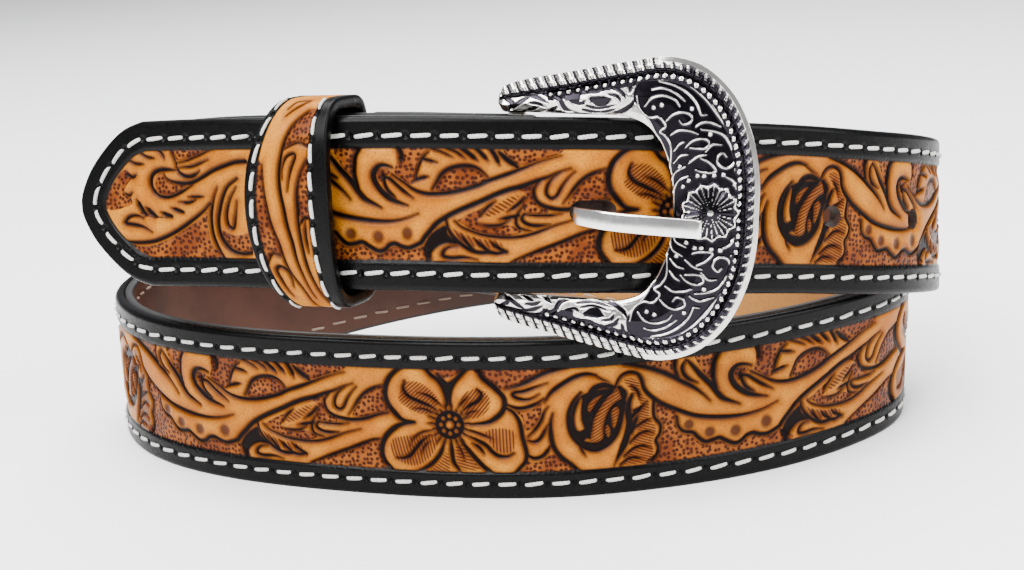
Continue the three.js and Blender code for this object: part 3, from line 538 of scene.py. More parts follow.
hatchPatches = [
    (0.68, 130, [(112.6, 9.3), (116, 9.5), (119.5, 7), (120.6, 4.2), (118.6, 1.4), (114.5, 1.8),
                 (110.6, 4.4), (110.9, 6.8)]),
    (0.68, 140, [(125.4, 5.2), (127, 7.4), (130.4, 8), (132.8, 5.8), (132, 2.4), (128.6, 0.4),
                 (126.2, 1.8)]),
    (0.78, 0, [(131, -2), (135, -1.2), (138.2, -2.4), (138, -5.6), (136.8, -7.6), (133.6, -7.4),
               (131.6, -4.8)]),
    (0.7, 75, [(123.6, -6), (125.4, -5.4), (127.8, -9), (129.6, -11.6), (125.4, -12), (123.8, -10)]),
    (0.74, 12, [(108.2, -4.8), (111, -3.6), (114, -3.4), (119.2, -3.2), (120, -5.4), (117.4, -9.4),
                (113.6, -11.3), (109.4, -10), (107.8, -7.4)]),
    (0.7, 60, [(117, -12.4), (119.6, -9.6), (121.8, -7), (122.2, -12.4)]),
    (0.62, 120, [(155, -6), (154.6, 2), (157, 6), (162.8, 7), (162.8, 3), (161, -2), (158, -6)]),
    (0.62, 70, [(163, 8.4), (165, 9.2), (167, 7.8), (167.4, 5.4), (169.2, 2.6), (169.2, -1), (170.6, -3.6),
                (169.6, -7), (169.8, -10), (168.6, -11.8), (162.6, -11.8), (164.4, -7.6), (166, -3),
                (166.4, 0.4), (166.4, 3.4), (164.8, 5.6)]),
    (0.85, 60, [(81, -1.8), (83.4, 0.4), (87, 2.4), (89, 2.2), (86.6, -0.4), (84, -2), (82, -2.6)]),
    (0.9, 30, [(74, -4.6), (76.5, -5.6), (80, -6.8), (84.5, -7.4), (85.4, -9), (82, -9.4), (78.6, -9),
               (75.6, -7.4)]),
]
# each dimple: its middle and its radius
dimples = [(178.2, -3.9, 1.9), (183.2, -6.4, 2.0), (189.7, -7.1, 2.2), (197.8, -6.3, 2.3)]

# the tip has a scroll of its own: mm from the tip and up from the middle
tipCuts = [
    (1.0, 0.6, 0.2, [(20.9, 2.6), (20.2, 4.4), (20.3, 6.2), (21.4, 7.4), (23.2, 7.9), (25.2, 7.9),
                     (27.4, 7.7)]),
    (0.5, 0.6, 0.3, [(27.5, 8), (27.3, 9.6), (26.3, 11.6)]),
    (0.9, 0.3, 1, [(23.8, 7.2), (24.6, 5.8), (26.5, 5), (29.5, 4.7), (32, 5.1), (34.8, 6.3), (37.5, 7.6),
                   (40.5, 8.6)]),
    (0.8, 0.8, 0.4, [(20.7, 3.4), (22, 2), (24.3, 1.6), (26.6, 2.1), (29.2, 3.2), (31.8, 4.5)]),
    (0.9, 0.6, 0.2, [(27.6, 8.2), (28.3, 7), (29.7, 6.3), (31.3, 6.3), (32.7, 6.8), (33.9, 7.6)]),
    (0.6, 0.4, 0.2, [(28.2, 8.3), (31.6, 8.5), (34, 9.2), (36.5, 10.1)]),
    (0.6, 0.4, 0.8, [(27.6, 9.3), (30, 9.8), (32, 10.4), (34, 11.1), (36, 11.9), (37.8, 12.6)]),
    (0.9, 0.8, 0.6, [(12.4, -8.7), (16.3, -8.8), (19.7, -8.5), (22.8, -7.6), (25.8, -6.4), (28.7, -4.9),
                     (31.4, -3.3), (34, -1.6), (36, 0.2)]),
    (0.8, 0.2, 0.8, [(38.4, 3.9), (37.2, 1.6), (36.3, -1.3), (36, -4), (36.3, -7), (37.3, -9.7),
                     (38.8, -12.4)]),
    (1.1, 0.1, 0.8, [(15.8, 1.2), (16.6, -0.4), (17.8, -2.3)]),
    (1.1, 0.1, 0.8, [(18.2, -0.6), (19.2, -1.6), (20.6, -2.7)]),
    (1.0, 0.1, 0.8, [(22.4, -1.8), (23.6, -2.4), (25.2, -2.8)]),
    (0.9, 0.1, 0.6, [(25.4, -0.9), (26.8, -1.4), (28.6, -1.9)]),
    (0.7, 0.1, 0.3, [(27.6, 0.5), (30, 0.3), (32.3, 1)]),
    (0.6, 0.1, 0.3, [(30.2, 1.6), (32, 1.6), (34.4, 1.7)]),
    (0.8, 0.3, 0.1, [(17.4, -3.2), (16, -2.6), (14.4, -2.5), (12.9, -3), (12, -4.2), (13.6, -4.5),
                     (16.8, -5.1), (19.6, -6.4)]),
    (0.6, 0.8, 0.1, [(14.8, 10), (16.4, 9.4), (18.6, 9.3)]),
    (0.6, 0.8, 0.1, [(18, 11.6), (19.8, 10.8), (21.6, 10.6)]),
    (0.6, 0.8, 0.1, [(22.8, 12.4), (23.8, 11.4), (24.4, 10.2)]),
    (0.7, 0.8, 0.1, [(13.4, 7), (15, 6.4), (16.4, 7)]),
    (0.9, 0.6, 0.8, [(43.8, 5.8), (40.8, 3.7), (38.8, -0.3), (37.9, -4.4), (38.6, -7.8), (40.8, -10.4),
                     (43.8, -11.2), (47, -10.9)]),
    (0.7, 0.3, 0.2, [(43.4, 3.9), (41.4, 1), (40.3, -2.2), (40.6, -4.8), (41.9, -5.4), (42.6, -3),
                     (43.4, 0.8)]),
    (0.9, 1, 1, [(40.5, 8.6), (43.6, 9.4), (47.2, 9.6)]),
    (0.6, 0.8, 0.1, [(12.6, 2.6), (13.8, 2.2), (14.8, 3)]),
]
tipMatted = [
    [(21.4, 4), (21.8, 6.6), (23.4, 7.2), (24.4, 5.6), (26.4, 4.7), (29.6, 4.4), (28, 3), (25, 2.1),
     (22.4, 2.4)],
    [(26.2, 12.7), (27.8, 10), (30, 10.2), (33, 11), (35.6, 12.2), (36.4, 12.8)],
    [(6, 0.4), (10.2, 6), (13.2, 8.2), (14.8, 6.4), (13, 4), (12.4, 2.4), (14.4, 1.6), (14.6, 0.2),
     (12.6, -0.6), (8.4, -1.2)],
    [(12, -9.2), (16.6, -9.6), (20, -9.3), (23, -8.4), (26, -7.2), (29, -5.6), (31.6, -4.2), (34, -2.6),
     (35.4, -1.4), (35.2, -4), (35.4, -7), (36.2, -9.6), (37.6, -12.7), (14, -12.7)],
    [(39, -5.8), (40.8, -6.6), (43, -7), (47, -6.6), (47.4, -10.6), (44, -10.8), (41, -10), (39.1, -8)],
    [(16.4, -2), (18, -2.8), (21, -3.2), (24.8, -3.2), (22, -2.6), (19.4, -2.2), (17.6, -1.6)],
]
tipScrollEnd = 46.8      # where the tip's scroll hands over to the repeat

# the repeat's place along the strap: mm from the tip, mm in the repeat
repeatPlaces = [(0, -30.5), (39.2, 15.9), (76.8, 54.9), (88.7, 70.3), (126.3, 107.3), (167, 150.4),
                (202.5, 189), (505, 543), (755, 793), (1120, 1158)]


def evaluateChart(points, strokes, matted, deep=(), raised=(), patches=(), dents=()):
    fields = {"cut": strokeField(points, strokes)}
    if deep:
        deepField = -areaField(points, deep)
        deepField = np.maximum(deepField, areaField(points, raised))
        fields["cut"] = np.minimum(fields["cut"], deepField)
    fields["ground"] = areaField(points, matted)
    fields["hatch"], fields["lines"] = hatchField(points, patches)
    dimple = np.zeros(len(points))
    for x, y, radius in dents:
        dimple = np.maximum(dimple, 1 - np.hypot(points[:, 0] - x, points[:, 1] - y) / radius)
    fields["dimple"] = dimple
    return fields


chart = {"start": 67, "step": 0.2, "reachUp": 13.2}


def chartRepeat():
    # the repeat's fields on a fine grid, with its neighbours' strokes that reach into it
    step, reachUp = chart["step"], chart["reachUp"]
    along = np.arange(0, repeatLength, step) + chart["start"]
    upwards = np.arange(-reachUp, reachUp + step, step)
    points = np.stack(np.meshgrid(along, upwards, indexing="ij"), -1).reshape(-1, 2)
    turns = (-repeatLength, 0, repeatLength)

    def repeated(paths):
        return [moved(path, turn) for turn in turns for path in paths]

    fields = evaluateChart(
        points,
        [(w, a, b, moved(path, turn)) for turn in turns for w, a, b, path in cuts],
        repeated(mattedAreas), repeated(deepAreas), repeated(islands),
        [(s, angle, moved(path, turn)) for turn in turns for s, angle, path in hatchPatches],
        [(x + turn, y, r) for turn in turns for x, y, r in dimples])
    return {key: value.reshape(len(along), len(upwards)) for key, value in fields.items()}


print("charting the tooling")
repeatFields = chartRepeat()


def sampleRepeat(distance, height):
    places, values = zip(*repeatPlaces)
    x = ((np.interp(distance, places, values) - chart["start"]) % repeatLength) / chart["step"]
    rows, columns = repeatFields["cut"].shape
    y = np.clip((height + chart["reachUp"]) / chart["step"], 0, columns - 1.001)
    i, j = np.floor(x).astype(int), np.floor(y).astype(int)
    fx, fy = x - i, y - j
    i0, i1 = i % rows, (i + 1) % rows
    sampled = {}
    for key, field in repeatFields.items():
        low = field[i0, j] * (1 - fx) + field[i1, j] * fx
        high = field[i0, j + 1] * (1 - fx) + field[i1, j + 1] * fx
        sampled[key] = low * (1 - fy) + high * fy
    return sampled


def tooling(distance, height):
    fields = sampleRepeat(distance, height)
    tip = np.nonzero(distance.ravel() < tipScrollEnd)[0]
    if len(tip):
        points = np.stack([distance.ravel()[tip], height.ravel()[tip]], -1)
        own = evaluateChart(points, tipCuts, tipMatted)
        for key, values in own.items():
            whole = fields[key].ravel()
            whole[tip] = values
            fields[key] = whole.reshape(distance.shape)
    return fields


def smoothStep(low, high, value):
    t = np.clip((value - low) / (high - low), 0, 1)
    return t * t * (3 - 2 * t)


relief = {"matted": 0.5, "cut": 0.55, "bevel": 0.2, "dimple": 0.45, "borderGroove": 0.35}


def reliefHeight(fields, inset):
    # inset: how far a point is from the strap's edge, less the border
    cut, ground = fields["cut"], fields["ground"]
    lift = -relief["matted"] * smoothStep(-0.1, 0.5, ground)
    inGround = smoothStep(0, 0.4, ground)
    lift = lift - relief["cut"] * (1 - smoothStep(-0.25, 0.35, cut)) * (1 - 0.4 * inGround)
    lift = lift - relief["bevel"] * np.exp(-np.clip(cut, 0, None) / 0.6)
    lift = lift - relief["dimple"] * np.clip(fields["dimple"], 0, 1) ** 0.7
    lift = lift * smoothStep(0, 0.5, inset)
    return lift - relief["borderGroove"] * np.exp(-(inset / 0.35) ** 2)


# The leathers
def edgeDistance(distance, height):
    # distance in from the strap's outline, which is pointed at the tip
    inset = half - np.abs(height)
    near = distance < 32
    if near.any():
        along = np.concatenate([np.linspace(0, 1, 50) ** 2 * strap["tipLength"], [40]])
        outline = np.stack([along, tipHalf(along)], -1)
        outline = np.concatenate([outline[::-1] * (1, -1), outline])
        spots = np.stack([distance[near], height[near]], -1)
        gap = distanceTo(spots, outline)[0]
        inset[near] = np.where(np.abs(spots[:, 1]) <= tipHalf(spots[:, 0]) + 1e-6, gap, -gap)
    return inset


def stitchPath(side):
    # the row keeps its inset round the point of the tip
    along = np.concatenate([np.linspace(0, 1, 80) ** 2 * strap["tipLength"], np.linspace(19, 60, 80)])
    outline = np.stack([along, tipHalf(along)], -1)
    step = unit(np.gradient(outline, axis=0))
    inward = outline + np.stack([step[:, 1], -step[:, 0]], -1) * strap["stitchInset"]
    inward = inward[(inward[:, 1] > 0.2) & (inward[:, 0] > 2)]
    inward = inward[np.argsort(inward[:, 0])]
    tail = np.array([[linedLength - 4, half - strap["stitchInset"]]])
    return np.concatenate([inward, tail]) * (1, side)


stitch = {"pitch": 6.2, "frontPitch": 5.85, "frontReach": 250, "length": 4.6, "radius": 0.45, "lift": 0.18,
          "slant": 0.2}
awlDepth = 0.55


def stitchPlaces(side):
    path = stitchPath(side)
    run = np.concatenate([[0], np.cumsum(np.linalg.norm(np.diff(path, axis=0), axis=1))])
    marks, t = [], 1.6 if side > 0 else 2.4
    while t < run[-1] - 3:
        marks.append(t)
        inFront = np.interp(t, run, path[:, 0]) < stitch["frontReach"]
        t += stitch["frontPitch"] if inFront else stitch["pitch"]
    return path, run, np.array(marks)


stitchRows = {side: stitchPlaces(side) for side in (1, -1)}


def stitchDents(distance, height):
    # awl holes between the stitches and the shallow channel that the thread lies in
    lift = np.zeros(distance.shape)
    dark = np.full(distance.shape, 2.0)
    for side, (path, run, marks) in stitchRows.items():
        awl = marks - stitch["pitch"] * 0.5
        spots = np.stack([np.interp(awl, run, path[:, 0]), np.interp(awl, run, path[:, 1])], -1)
        close = np.nonzero((np.abs(height - side * 15) < 3) | (distance < 30))
        u, v = distance[close], height[close]
        best = np.full(len(u), 9.0)
        order = np.argsort(spots[:, 0])
        sortedSpots = spots[order]
        slot = np.clip(np.searchsorted(sortedSpots[:, 0], u), 1, len(sortedSpots) - 1)
        for k in (slot - 1, slot):
            best = np.minimum(best, np.hypot(u - sortedSpots[k, 0], v - sortedSpots[k, 1]))
        lift[close] -= awlDepth * (1 - smoothStep(0.2, 0.85, best))
        dark[close] = np.minimum(dark[close], best)
    return lift, dark


def strapHoles():
    # first and last distance of each hole's middle at the front and at the back, and its height
    holes = []
    for k in range(strap["holeCount"]):
        spot = coil["tipPastBar"] + 16.7 + k * strap["holeSpacing"]
        holes.append((spot, spot, spot, spot) if k else (spot - 2, spot + 3.1, spot - 3.6, spot + 1))
    return holes


def holeGap(distance, height, start, end):
    # distance from the rim of a long hole
    nearest = np.clip(distance, start, end)
    return np.hypot(distance - nearest, height + strap["holeDrop"]) - strap["holeRadius"]


def openHoles(place, faces, ranges):
    # faces inside a hole go, and the rim's corners are drawn onto its outline
    gap = np.full(len(place), 99.0)
    centre = np.zeros((len(place), 2))
    for start, end in ranges:
        this = holeGap(place[:, 0], place[:, 1], start, end)
        nearest = np.stack([np.clip(place[:, 0], start, end), np.full(len(place), -strap["holeDrop"])], -1)
        better = this < gap
        gap[better], centre[better] = this[better], nearest[better]
    quads = np.array(faces)
    inside = gap[quads].mean(1) < 0
    rim = np.intersect1d(quads[inside].ravel(), quads[~inside].ravel())
    moving = centre[rim] + unit(place[rim] - centre[rim]) * strap["holeRadius"]
    return quads[~inside].tolist(), rim, moving


def strapColumns(panelStep):
    border = np.arange(half - strap["edgeRound"] - 0.15, half - strap["borderWidth"] + 0.3, -0.42)
    panelHalf = half - strap["borderWidth"] + 0.1
    panel = np.linspace(-panelHalf, panelHalf, 1 + round(2 * panelHalf / panelStep))
    return np.concatenate([-border, panel, border[::-1]])


backStrip = {"low": -4.3, "high": 1.9}      # the back's faces behind the holes and the slot


def frontSection(panelStep):
    face = strapColumns(panelStep)
    turn = np.linspace(0, math.pi / 2, 5)
    bend = strap["edgeRound"]
    lowEdge = [(-half + bend - bend * math.cos(a), -bend + bend * math.sin(a)) for a in turn]
    highEdge = [(-h, lift) for h, lift in lowEdge[::-1]]
    back, trim = -strap["outer"], 0.3
    backs = [(half, back + trim), (half - trim, back), (backStrip["high"], back), (backStrip["low"], back),
             (-half + trim, back), (-half, back + trim)]
    section = lowEdge + [(h, 0.0) for h in face] + highEdge + backs
    height, lift = np.array(section).T
    front = np.zeros(len(height), bool)
    front[len(lowEdge):len(lowEdge) + len(face)] = True
    return height, lift, front


divided = {"right": 268, "left": 503, "low": 768}       # where the pieces meet, from the tip
tooledPieces = {
    "strap_free_end": {"from": 0, "to": divided["right"], "step": 0.36, "panelStep": 0.36},
    "strap_back_outer": {"from": divided["right"], "to": divided["left"], "step": 0.5, "panelStep": 0.5},
    "strap_lower_front": {"from": divided["left"], "to": divided["low"], "step": 0.36, "panelStep": 0.36},
    "strap_back_inner": {"from": divided["low"], "to": None, "step": 0.7, "panelStep": 0.7},
}
liningPieces = {
    "strap_lining_free": (0, divided["right"]),
    "strap_lining_turn": (divided["right"], divided["low"]),
    "strap_lining_back": (divided["low"], linedLength),
}
plainFields = {"cut": 2.0, "ground": -2.0, "hatch": -2.0, "lines": 0.0, "dimple": 0.0, "awl": 2.0}


def floorClip(points):
    # the resting edge is pressed flat where it meets the surface
    points[..., 2] = np.maximum(points[..., 2], 0)
    return points


def foldRows():
    # round the bar and back behind the strap: place, along, up and out of each row, without the shift
    foldRadius = strap["barRadius"] + strap["gap"] + strap["outer"]
    origin, along, up, out = (v[0] for v in route.at(np.array([route.length])))
    centre = origin - out * foldRadius
    rows = []
    for angle in np.linspace(0, math.pi, 15)[1:-1]:
        turned = out * math.cos(angle) + along * math.sin(angle)
        rows.append((centre + turned * foldRadius, up, turned))
    closed = thickness + strap["gap"] + strap["outer"]
    for back in np.linspace(0, 31, 20):
        o, a, u, n = (v[0] for v in route.at(np.array([route.length - back])))
        settle = smoothStep(0, 12, back)
        depth = 2 * foldRadius * (1 - settle) + closed * settle
        rows.append((o - n * depth, u, -n))
    return rows


def leatherSurface(distance, height, lift, front):
    # a tooled stretch, row by row: its points and what the finish reads there
    u, v = np.meshgrid(distance, height, indexing="ij")
    v = v * (tipHalf(u) / half)
    offset = np.tile(lift, (len(distance), 1)) * np.clip(tipHalf(u) / 3, 0, 1)
    inset = edgeDistance(u, v) - strap["borderWidth"]
    frontU, frontV = u[:, front], v[:, front]
    fields = tooling(frontU, frontV)
    dents, awl = stitchDents(frontU, frontV)
    rise = reliefHeight(fields, inset[:, front]) + dents
    for start, stop, backStart, backStop in strapHoles():
        gap = holeGap(frontU, frontV, start, stop)
        rise -= strap["rimDepth"] * np.exp(-np.clip(gap, 0, 9) / 0.5)
    offset[:, front] += rise
    full = {key: np.full(u.shape, plain) for key, plain in plainFields.items()}
    for key, values in fields.items():
        full[key][:, front] = values
    full["awl"][:, front] = awl
    full["border"] = np.where(front, inset, -strap["borderWidth"])
    full["place"] = np.stack([u, v, offset], -1)
    return onStrap(u, v, offset), full


def addFold(points, full, height, lift):
    # the stretch that turns back round the bar is plain and black
    turned = np.array([origin + up * (half + height[:, None]) + out * lift[:, None] + shift
                       for origin, up, out in foldRows()])
    for key, values in full.items():
        tail = np.repeat(values[-1:], len(turned), 0)
        if key == "place":
            tail = tail + (np.arange(1, len(turned) + 1) * 1.6)[:, None, None] * (1, 0, 0)
        if key == "border":
            tail = np.full_like(tail, -strap["borderWidth"])
        full[key] = np.concatenate([values, tail])
    return np.concatenate([points, turned])


def punchHoles(points, faces, facing, place, strip, distance, ranges, rimLift):
    # opens the holes on the facing side, and the strip of faces that lies behind them
    columns = len(points) // len(distance)
    isFacing = [len(f) == 4 and all(facing[i] for i in f) for f in faces]
    rest = [f for f, faces_ in zip(faces, isFacing) if not faces_]
    cutFaces, rim, moving = openHoles(place, [f for f, faces_ in zip(faces, isFacing) if faces_], ranges)
    points[rim] = onStrap(moving[:, 0], moving[:, 1], np.full(len(rim), rimLift))

    def isBehind(face):
        if len(face) != 4 or {i % columns for i in face} != strip:
            return False
        spot = distance[face[0] // columns]
        return any(backStart - 3 < spot < stop + 3 for start, stop, backStart, backStop in strapHoles())

    return [f for f in rest if not isBehind(f)] + cutFaces


def makeStrap(name, rows, finish):
    end = rows["to"] or route.length
    distance = np.linspace(rows["from"], end, round((end - rows["from"]) / rows["step"]) + 1)
    if rows["from"] == 0:
        distance = np.concatenate([[0, 0.08, 0.2], distance[1:]])
    height, lift, front = frontSection(rows["panelStep"])
    points, full = leatherSurface(distance, height, lift, front)
    keep = None
    if rows["to"] is None:
        points = addFold(points, full, height, lift)
        keep = slotKeep(points.shape[:2], height, len(points) - len(distance))
    shape = points.shape[:2]
    points = floorClip(points.reshape(-1, 3))
    faces = tubeFaces(*shape, keep)
    if rows["from"] == 0:
        place = full["place"].reshape(-1, 3)[:, :2]
        strip = {k for k in range(len(height)) if not front[k] and abs(height[k]) < 5}
        ranges = [(start, stop) for start, stop, backStart, backStop in strapHoles()]
        faces = punchHoles(points, faces, np.tile(front, shape[0]), place, strip, distance, ranges,
                           -strap["rimDepth"])
    attributes = {key: values.reshape(-1, 3) if key == "place" else values.ravel()
                  for key, values in full.items()}
    piece = makeMesh(name, points, turnedOut(points, faces), attributes, finish)
    dress(piece, "tooled_leather", "strap_outer")


def slotKeep(shape, height, foldCount):
    # the tongue's slot: nothing is kept between its two sides near the bar
    rows, columns = shape
    keep = np.ones((rows - 1, columns), bool)
    nextHeight = np.roll(height, -1)
    low, high = backStrip["low"] - 0.1, backStrip["high"] + 0.1
    between = (np.minimum(height, nextHeight) > low) & (np.maximum(height, nextHeight) < high)
    first = rows - foldCount - 10
    last = rows - foldCount + 19
    keep[first:last, between] = False
    return keep


lining = {"edgeRound": 0.6, "freeStep": 1.0, "step": 1.6, "freeColumns": 44, "columns": 26, "rimDepth": 0.2}


def liningSection(columns):
    face, back, bend = -(strap["outer"] + strap["gap"]), -thickness, lining["edgeRound"]
    turn = np.linspace(0, math.pi / 2, 4)
    section = [(half, face), (backStrip["high"], face), (backStrip["low"], face), (-half, face)]
    section += [(-half + bend - bend * math.cos(a), back + bend - bend * math.sin(a)) for a in turn]
    section += [(h, back) for h in np.linspace(-half + bend + 0.3, half - bend - 0.3, columns)]
    section += [(half - bend + bend * math.sin(a), back + bend - bend * math.cos(a)) for a in turn]
    return np.array(section).T


def makeLining(name, start, end, finish):
    isFree = start == 0
    step = lining["freeStep"] if isFree else lining["step"]
    distance = np.linspace(start, end, round((end - start) / step) + 1)
    if isFree:
        distance = np.concatenate([[0, 0.2, 0.5], distance[1:]])
    height, lift = liningSection(lining["freeColumns"] if isFree else lining["columns"])
    u, v = np.meshgrid(distance, height, indexing="ij")
    v = v * (tipHalf(u) / half)
    flatPart = np.abs(np.tile(lift, (len(distance), 1)) + thickness) < 1e-6
    dents, awl = stitchDents(u, v)
    offset = np.tile(lift, (len(distance), 1)) - dents * 0.6 * flatPart
    points = floorClip(onStrap(u, v, offset).reshape(-1, 3))
    faces = tubeFaces(len(distance), len(height))
    if isFree:
        place = np.stack([u, v], -1).reshape(-1, 2)
        ranges = [(backStart, backStop) for start, stop, backStart, backStop in strapHoles()]
        faces = punchHoles(points, faces, flatPart.ravel(), place, {1, 2}, distance, ranges,
                           lining["rimDepth"] - thickness)
    attributes = {"place": np.stack([u, v, offset], -1).reshape(-1, 3), "border": edgeDistance(u, v).ravel(),
                  "awl": awl.ravel()}
    piece = makeMesh(name, points, turnedOut(points, faces), attributes, finish)
    dress(piece, "lining_leather", "strap_lining")


def makeHoleWalls(finish):
    points, faces = [], []
    sides, rings = 28, 4
    top, bottom = -strap["rimDepth"], lining["rimDepth"] - thickness
    for frontStart, frontEnd, backStart, backEnd in strapHoles():
        base = sum(len(p) for p in points)
        turn = np.arange(sides) * 2 * math.pi / sides
        radius = strap["holeRadius"]
        for k in range(rings):
            share = k / (rings - 1)
            start = frontStart + (backStart - frontStart) * share
            end = frontEnd + (backEnd - frontEnd) * share
            u = np.where(np.cos(turn) < 0, start, end) + radius * np.cos(turn)
            v = radius * np.sin(turn) - strap["holeDrop"]
            lift = np.full(sides, top + (bottom - top) * share)
            points.append(onStrap(u, v, lift))
        for k in range(rings - 1):
            for j in range(sides):
                a, b = base + k * sides + j, base + k * sides + (j + 1) % sides
                faces.append([a, b, b + sides, a + sides])
        if frontStart != frontEnd:                  # the hole in use gets a dark cap at the bottom: painted shade
            faces.append([base + (rings - 1) * sides + j for j in range(sides)])
    return dress(makeMesh("hole_walls", np.concatenate(points), faces, finish=finish), "tooled_leather")


def threadShape(steps, sides, radius):
    # a twisted thread that dips at both ends: share along it, width across, height, and its faces
    turn = np.arange(sides) * 2 * math.pi / sides
    share = np.linspace(-1, 1, steps + 1)
    pinch = np.sqrt(np.clip(1 - np.abs(share) ** 5, 0.04, 1))[:, None]
    ply = 1 + 0.13 * np.cos(3 * (turn - share[:, None] * 5.5))
    sink = 0.75 * np.abs(share[:, None]) ** 6
    wide = radius * pinch * ply * np.cos(turn)
    high = radius * 0.85 * pinch * ply * np.sin(turn) - sink
    return share, wide, high, tubeFaces(steps + 1, sides)


def joined(shapes, faces, mirrored=False):
    # many equal shapes as one mesh, each one's faces counted on from the last
    order = -1 if mirrored else 1
    allFaces = [[i + k * len(shapes[0]) for i in face[::order]] for k in range(len(shapes)) for face in faces]
    return np.concatenate(shapes), allFaces


def makeStitches(name, back, finish, steps=12, sides=8):
    share, wide, high, faces = threadShape(steps, sides, stitch["radius"] * (0.8 if back else 1))
    level = -thickness - high - stitch["lift"] if back else high + stitch["lift"]
    threads = []
    random = np.random.default_rng(7)
    for side, (path, run, marks) in stitchRows.items():
        for mark in marks:
            length = stitch["length"] * random.uniform(0.94, 1.04)
            wobble = random.uniform(-0.12, 0.12)
            along = mark + share * length / 2
            line = np.stack([np.interp(along, run, path[:, k]) for k in range(2)], -1)
            line[:, 1] += (wobble + stitch["slant"]) * share
            step = unit(np.gradient(line, axis=0))
            u, v = line[:, :1] - step[:, 1:] * wide, line[:, 1:] + step[:, :1] * wide
            threads.append(onStrap(u, v, level).reshape(-1, 3))
    mesh = makeMesh(name, *joined(threads, faces, mirrored=back), finish=finish)
    dress(mesh, "lining_leather" if back else "tooled_leather")


# Finishes
class Wire:
    def __init__(self, maker, socket):
        self.maker = maker
        self.socket = socket

    def combine(self, operation, *values):
        return self.maker.add("ShaderNodeMath", {"operation": operation}, dict(enumerate(values)))

    def __add__(self, other):
        return self.combine("ADD", self, other)

    def __sub__(self, other):
        return self.combine("SUBTRACT", self, other)

    def __rsub__(self, other):
        return self.combine("SUBTRACT", other, self)

    def __mul__(self, other):
        return self.combine("MULTIPLY", self, other)

    __radd__ = __add__
    __rmul__ = __mul__


class Finish:
    def __init__(self, name):
        self.material = bpy.data.materials.new(name)
        self.material.use_nodes = True
        self.nodes = self.material.node_tree.nodes
        self.links = self.material.node_tree.links
        self.nodes.clear()

    def add(self, kind, settings=None, inputs=None, output=0):
        node = self.nodes.new(kind)
        for key, value in (settings or {}).items():
            setattr(node, key, value)
        for key, value in (inputs or {}).items():
            socket = node.inputs[key]
            if isinstance(value, Wire):
                self.links.new(value.socket, socket)
            else:
                socket.default_value = (*value, 1) if socket.type == "RGBA" and len(value) == 3 else value
        return Wire(self, node.outputs[output]) if output is not None else node

    def attribute(self, name, output=2):
        return self.add("ShaderNodeAttribute", {"attribute_name": name}, output=output)

    def step(self, value, low, high, start=0.0, end=1.0):
        return self.add("ShaderNodeMapRange", {"interpolation_type": "SMOOTHSTEP"},
                        {"Value": value, "From Min": low, "From Max": high, "To Min": start, "To Max": end})

    def blend(self, factor, first, second, mode="MIX"):
        return self.add("ShaderNodeMix", {"data_type": "RGBA", "blend_type": mode, "clamp_factor": True},
                        {0: factor, 6: first, 7: second}, output=2)

    def noise(self, place, scale, detail=3.0, rough=0.6):
        return self.add("ShaderNodeTexNoise", {}, {"Vector": place, "Scale": scale, "Detail": detail,
                                                   "Roughness": rough})

    def surface(self, **sockets):
        values = {key.replace("_", " "): value for key, value in sockets.items()}
        shader = self.add("ShaderNodeBsdfPrincipled", {}, values)
        self.add("ShaderNodeOutputMaterial", {}, {"Surface": shader}, output=None)
        return self.material

    def bump(self, height, strength=1.0, distance=mm):
        return self.add("ShaderNodeBump", {}, {"Height": height, "Strength": strength, "Distance": distance})


leatherLook = {
    "tan": (0.30, 0.092, 0.003),
    "tanPale": (0.40, 0.148, 0.008),
    "tanDeep": (0.10, 0.021, 0.002),
    "matted": (0.10, 0.021, 0.003),
    "mattedPale": (0.19, 0.052, 0.006),
    "mattedPit": (0.016, 0.003, 0.001),
    "cut": (0.003, 0.0012, 0.001),
    "hatch": (0.035, 0.008, 0.002),
    "border": (0.0012, 0.0012, 0.0013),
    "scuffed": (0.012, 0.012, 0.013),
    "cellSize": 1.15,
}


